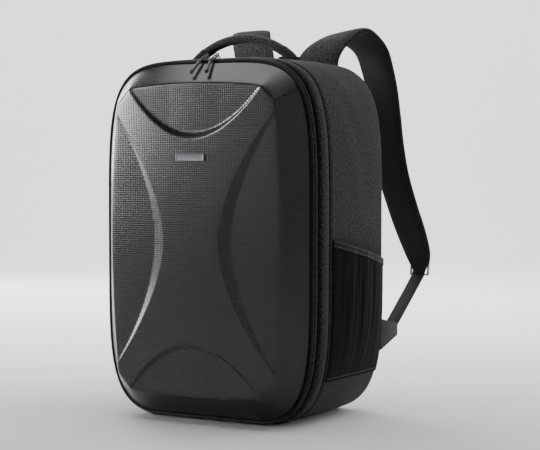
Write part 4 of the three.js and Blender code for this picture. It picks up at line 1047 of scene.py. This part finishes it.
# Ladder adjusters. Satin grey moulded frames with three cross bars. A loop of webbing holds each one to its
# strap, and the lower webbing is threaded over its middle bar and runs to a cloth tab on the body's corner.
WEBBING_WIDTH = 0.020
WEBBING_THICKNESS = 0.0016
WEBBING_ROUND, BUCKLE_ROUND, TAB_ROUND = 0.0007, 0.0008, 0.0012
BUCKLE_WIDTH = 0.030
BUCKLE_LENGTH = 0.032
BUCKLE_THICKNESS = 0.0034
BUCKLE_BAR = 0.003
BUCKLE_STAND_OFF = 0.0025
BUCKLE_RAISE = 0.009
BUCKLE_TILT = math.radians(15)
TAB_HEIGHT = 0.044
TAB_REACH = 0.042
TAB_THICKNESS = 0.0026
TAB_INSET = 0.0025
TAB_MIDDLE = 0.106


def bevelled(name, mesh, width):
    """A closed piece whose sharp edges are rounded by that width."""
    work = bmesh.new()
    work.from_mesh(mesh)
    bmesh.ops.recalc_face_normals(work, faces=work.faces)
    sharp = [edge for edge in work.edges if edge.is_manifold and edge.calc_face_angle() > 0.5]
    bmesh.ops.bevel(work, geom=sharp, offset=width, segments=3, profile=0.5, affect="EDGES", clamp_overlap=True)
    work.to_mesh(mesh)
    work.free()
    return place_mesh(name, mesh)


def plate_with_slots(name, columns, rows, holes, thickness):
    """A flat plate from grid lines, without the cells that are holes, closed and about its middle plane."""
    work = bmesh.new()
    net = [[work.verts.new((x, y, -thickness / 2)) for x in columns] for y in rows]
    faces = [
        work.faces.new((net[i][j], net[i][j + 1], net[i + 1][j + 1], net[i + 1][j]))
        for i in range(len(rows) - 1)
        for j in range(len(columns) - 1)
        if (i, j) not in holes
    ]
    made = bmesh.ops.extrude_face_region(work, geom=faces, use_keep_orig=True)
    top = [item for item in made["geom"] if isinstance(item, bmesh.types.BMVert)]
    bmesh.ops.translate(work, verts=top, vec=(0, 0, thickness))
    bmesh.ops.recalc_face_normals(work, faces=work.faces)
    mesh = bpy.data.meshes.new(name)
    work.to_mesh(mesh)
    work.free()
    return mesh


def rib_webbing(name, color, roughness):
    """Woven webbing: fine ribs across its length."""
    material, tree, shader = surface(name, color, roughness)
    shader.inputs["Specular IOR Level"].default_value = 0.3
    relief(tree, shader, square_weave(tree, RIB_PITCH), 0.6, 0.0004)
    return material


def chaikin(points, times=3):
    """The same course with its corners cut."""
    points = np.array(points)
    for _ in range(times):
        cut = np.stack([points[:-1] * 0.75 + points[1:] * 0.25, points[:-1] * 0.25 + points[1:] * 0.75], 1)
        points = np.vstack([points[:1], cut.reshape(-1, 3), points[-1:]])
    return points


def ribbon(name, points, side):
    """A flat band along points, its width level across the body and its edges rounded."""
    points = chaikin(points)
    _, outward = upright_ways(points)
    ring = np.array(rounded_ring(0, 0, WEBBING_WIDTH / 2, WEBBING_THICKNESS / 2, WEBBING_ROUND, 4))
    places = points[:, None] + ring[None, :, :1] * np.array([1.0, 0, 0]) + ring[None, :, 1:] * outward[:, None]
    flat = grid(lengths_along(points), np.append(ring[:, 0], ring[0, 0]))
    return lattice(name, places * (side, 1, 1), flat)


grey_plastic = grained("satin_grey_plastic", (0.36, 0.36, 0.37), 0.32, 1200.0, 0.00005)
webbing_cloth = rib_webbing("black_webbing", (0.008, 0.008, 0.0085), 0.6)
middle, _, half_thick, along, _, strap_out = strap_course(1, 0.0)
wing_x = float(outline_half_width(TAB_MIDDLE)) - TAB_INSET
tab_x = wing_x - GAP - WEBBING_WIDTH / 2
anchor = np.array([tab_x, BACK_Y + TAB_REACH, TAB_MIDDLE + TAB_HEIGHT / 10])
strap_end = len(middle) - 3
stand_off = half_thick[strap_end] + BUCKLE_THICKNESS / 2 + BUCKLE_STAND_OFF
top = middle[strap_end] - along[strap_end] * BUCKLE_RAISE + strap_out[strap_end] * stand_off
to_anchor = (anchor - top) * (0, 1, 1)
down = unit(along[strap_end] - strap_out[strap_end] * math.tan(BUCKLE_TILT))
outward = np.cross([1.0, 0, 0], down)
slot_length = (BUCKLE_LENGTH - 3 * BUCKLE_BAR) / 2
clear = BUCKLE_THICKNESS / 2 + WEBBING_THICKNESS / 2 + GAP


def beside_buckle(distance, face):
    """A place that far down the adjuster, in front of it, within it or behind it."""
    return top + down * distance + outward * face * clear


middle_bar = BUCKLE_BAR + slot_length
strap_face = middle + strap_out * (half_thick + WEBBING_THICKNESS / 2 + GAP)[:, None]
loop_course = [
    strap_face[strap_end - 2],
    strap_face[strap_end - 1],
    beside_buckle(-BUCKLE_BAR, 1),
    beside_buckle(BUCKLE_BAR, 1),
    beside_buckle(BUCKLE_BAR + 0.4 * slot_length, 0),
]
webbing_course = [
    beside_buckle(middle_bar - BUCKLE_BAR, 0),
    beside_buckle(middle_bar - BUCKLE_BAR / 2, 1),
    beside_buckle(middle_bar + 1.5 * BUCKLE_BAR, 1),
    beside_buckle(2 * BUCKLE_BAR + 1.5 * slot_length, 0),
    beside_buckle(BUCKLE_LENGTH - 1.5 * BUCKLE_BAR, -1),
    beside_buckle(BUCKLE_LENGTH, -1),
    anchor,
]
drift = (tab_x - top[0]) / np.linalg.norm(to_anchor)
for k, place in enumerate(webbing_course):
    if k >= 5:
        place[0] = top[0] + drift * np.linalg.norm(place - top)
anchor[0] = tab_x
half = BUCKLE_WIDTH / 2
buckle_columns = (-half, BUCKLE_BAR - half, half - BUCKLE_BAR, half)
buckle_rows = (0, BUCKLE_BAR, middle_bar, middle_bar + BUCKLE_BAR, BUCKLE_LENGTH - BUCKLE_BAR, BUCKLE_LENGTH)


def wing_seat(x, z):
    """Where a tab's edge meets the rounded corner between side and back."""
    corner_offset = min(x - float(outline_half_width(z)), -TAB_INSET / 2)
    return x, GUSSET_BACK - BACK_ROUND + math.sqrt(BACK_ROUND**2 - (BACK_ROUND + corner_offset) ** 2) + GAP, z


def wing_ring(x):
    """A tab's outline at a distance from the middle."""
    return [
        wing_seat(x, TAB_MIDDLE - TAB_HEIGHT / 2),
        (x, BACK_Y + TAB_REACH, TAB_MIDDLE - TAB_HEIGHT / 8),
        (x, BACK_Y + TAB_REACH, TAB_MIDDLE + TAB_HEIGHT / 4),
        wing_seat(x, TAB_MIDDLE + TAB_HEIGHT / 2),
        wing_seat(x, TAB_MIDDLE),
    ]


for side_name, side in SIDES:
    slots = {(1, 1), (3, 1)}
    plate = plate_with_slots(f"ladder_{side_name}", buckle_columns, buckle_rows, slots, BUCKLE_THICKNESS)
    for vertex in plate.vertices:
        x, y, z = vertex.co
        vertex.co = (top + np.array([x, 0, 0]) + down * y + outward * z) * (side, 1, 1)
    buckle = bevelled(f"ladder_{side_name}", plate, BUCKLE_ROUND)
    dress(buckle, "buckle", grey_plastic, stands_for=[f"adjuster_{side_name}"])
    loop = ribbon(f"webbing_loop_{side_name}", loop_course, side)
    dress(loop, "trim", webbing_cloth, stands_for=[f"strap_loop_{side_name}"])
    lower = ribbon(f"lower_webbing_{side_name}", webbing_course, side)
    dress(lower, "trim", webbing_cloth, stands_for=[f"webbing_{side_name}"])
    wing = bpy.data.meshes.new(f"side_tab_{side_name}")
    ends = [(side * x, y, z) for out in (0, TAB_THICKNESS) for x, y, z in wing_ring(wing_x + out)]
    around = [(k, (k + 1) % 5, (k + 1) % 5 + 5, k + 5) for k in range(5)]
    wing.from_pydata(ends, [], [(0, 1, 2, 3, 4), (5, 6, 7, 8, 9)] + around)
    tab = bevelled(f"side_tab_{side_name}", wing, TAB_ROUND)
    dress(tab, "body_fabric", webbing_cloth, stands_for=[f"corner_tab_{side_name}"])

# Sliders and pulls. Two black painted sliders meet at the top, and each has a bridge that holds the wire loop
# of a moulded rubber pull. The pulls lie over the shell's top slope.
SLIDER_HALF_PITCH = 0.008
SLIDER_SIZE = (0.011, 0.0074, 0.0032)
SLIDER_ROUND = 0.0008
BRIDGE_RADIUS = 0.0034
BRIDGE_WIRE = 0.0009
LOOP_WIRE = 0.00095
GRIP_LENGTH = 0.027
GRIP_RADIUS = 0.0021
GRIP_END_RADIUS = 0.003
GRIP_START = 0.004
COIL_HEIGHT = 0.0018
GRIP_STEPS = (
    # share of the grip's length, radius as a share of its own
    (0.0, 0.55),
    (0.015, 0.8),
    (0.06, 0.95),
    (0.3, 0.97),
    (0.6, 1.0),
    (0.84, 1.0),
    (0.87, 1.2),
    (0.9, 1.4),
    (0.96, 1.43),
    (0.99, 1.3),
    (1.0, 0.9),
)
black_metal = grained("black_metal", (0.03, 0.03, 0.031), 0.28, 700.0, 0.00005, Metallic=0.6)
black_rubber = grained("black_rubber", (0.018, 0.018, 0.019), 0.45, 1400.0, 0.0001)


def wire_ring(name, points, radius, sides=12):
    """A round wire along points, bent into a ring."""
    points = np.array(points)
    along = unit(np.roll(points, -1, 0) - np.roll(points, 1, 0))
    side = unit(np.cross(along, np.array([1.0, 0.02, 0.01])))
    other = np.cross(along, side)
    turn = np.linspace(0, 2 * math.pi, sides, endpoint=False)
    ring = np.cos(turn)[None, :, None] * side[:, None] + np.sin(turn)[None, :, None] * other[:, None]
    places = points[:, None] + radius * ring
    return lattice(name, places, grid(np.arange(len(points) + 1), np.arange(sides + 1)) * 0.001, ring=True)


def closed_course(points, between):
    """A smooth ring through points."""
    ring = np.vstack([points[-1:], points, points[:2]])
    return smooth_rows(ring, between)[between : between * (len(points) + 1)]


def slider_and_pull(name, x, lean):
    """One slider with its bridge, and its pull."""
    y = COIL_Y
    foot = BODY_HEIGHT - TAPE_INSET + 2 * GAP + COIL_HEIGHT
    half_x, half_y, half_z = (size / 2 for size in SLIDER_SIZE)
    rows = []
    for share in np.linspace(-1, 1, 13):
        waist = 1 - 0.18 * math.exp(-(((share - 0.1) / 0.35) ** 2)) - 0.12 * abs(share) ** 6
        ring = rounded_ring(y, foot + half_z, half_y * waist, half_z, SLIDER_ROUND)
        rows.append([(x + share * half_x, a, b) for a, b in ring])
    points = np.array(rows)
    body = lattice(f"slider_{name}", points, points[..., :2])
    dress(body, "slider", black_metal, stands_for=[f"zip_slider_{name}"])
    bridge_middle = foot + BRIDGE_RADIUS + BRIDGE_WIRE
    turn = np.linspace(0, 2 * math.pi, 32, endpoint=False)
    ring = [(x + BRIDGE_RADIUS * math.cos(t), y, bridge_middle + BRIDGE_RADIUS * math.sin(t)) for t in turn]
    dress(wire_ring(f"slider_bridge_{name}", ring, BRIDGE_WIRE), "slider", black_metal)
    bar_z = bridge_middle + BRIDGE_RADIUS
    slack = BRIDGE_WIRE + LOOP_WIRE + 2 * GAP
    slope = unit(unit(np.array([0.0, -SHELL_RISE, -SLOPE_RUN])) + np.array([math.sin(lean), 0, 0]))
    away = unit(np.array([0.0, -SLOPE_RUN, SHELL_RISE]))
    shell_top = np.array([x, FRONT_Y, BODY_HEIGHT - SHELL_EDGE_INSET])
    grip_start = shell_top + slope * GRIP_START + away * (GRIP_END_RADIUS + 3 * GAP)
    piping_top = BODY_HEIGHT - TAPE_INSET + GAP + 2 * LID_PIPING_RADIUS
    over_piping = np.array([x, LID_PIPING_Y - LID_PIPING_RADIUS, piping_top + LOOP_WIRE + 2 * GAP])
    course = np.array(
        [
            (x, y + slack, bar_z),
            (x, y, bar_z + slack),
            grip_start + away * 2 * LOOP_WIRE,
            grip_start + slope * 2 * LOOP_WIRE,
            over_piping,
            (x, y - slack / 2, bar_z - slack),
        ]
    )
    wire = wire_ring(f"pull_loop_{name}", closed_course(course, 8), LOOP_WIRE)
    dress(wire, "pull", black_rubber)
    side = unit(np.cross(slope, away))
    turn = np.linspace(0, 2 * math.pi, 20, endpoint=False)
    ring = GRIP_RADIUS * (np.cos(turn)[:, None] * side + np.sin(turn)[:, None] * away)
    points = np.array([grip_start + slope * share * GRIP_LENGTH + ring * swell for share, swell in GRIP_STEPS])
    grip = lattice(f"pull_grip_{name}", points, points[..., :2])
    dress(grip, "pull", black_rubber, stands_for=[f"zip_pull_{name}"])


slider_and_pull("left", -SLIDER_HALF_PITCH, 0.0)
slider_and_pull("right", SLIDER_HALF_PITCH, 0.25)

bpy.context.view_layer.update()
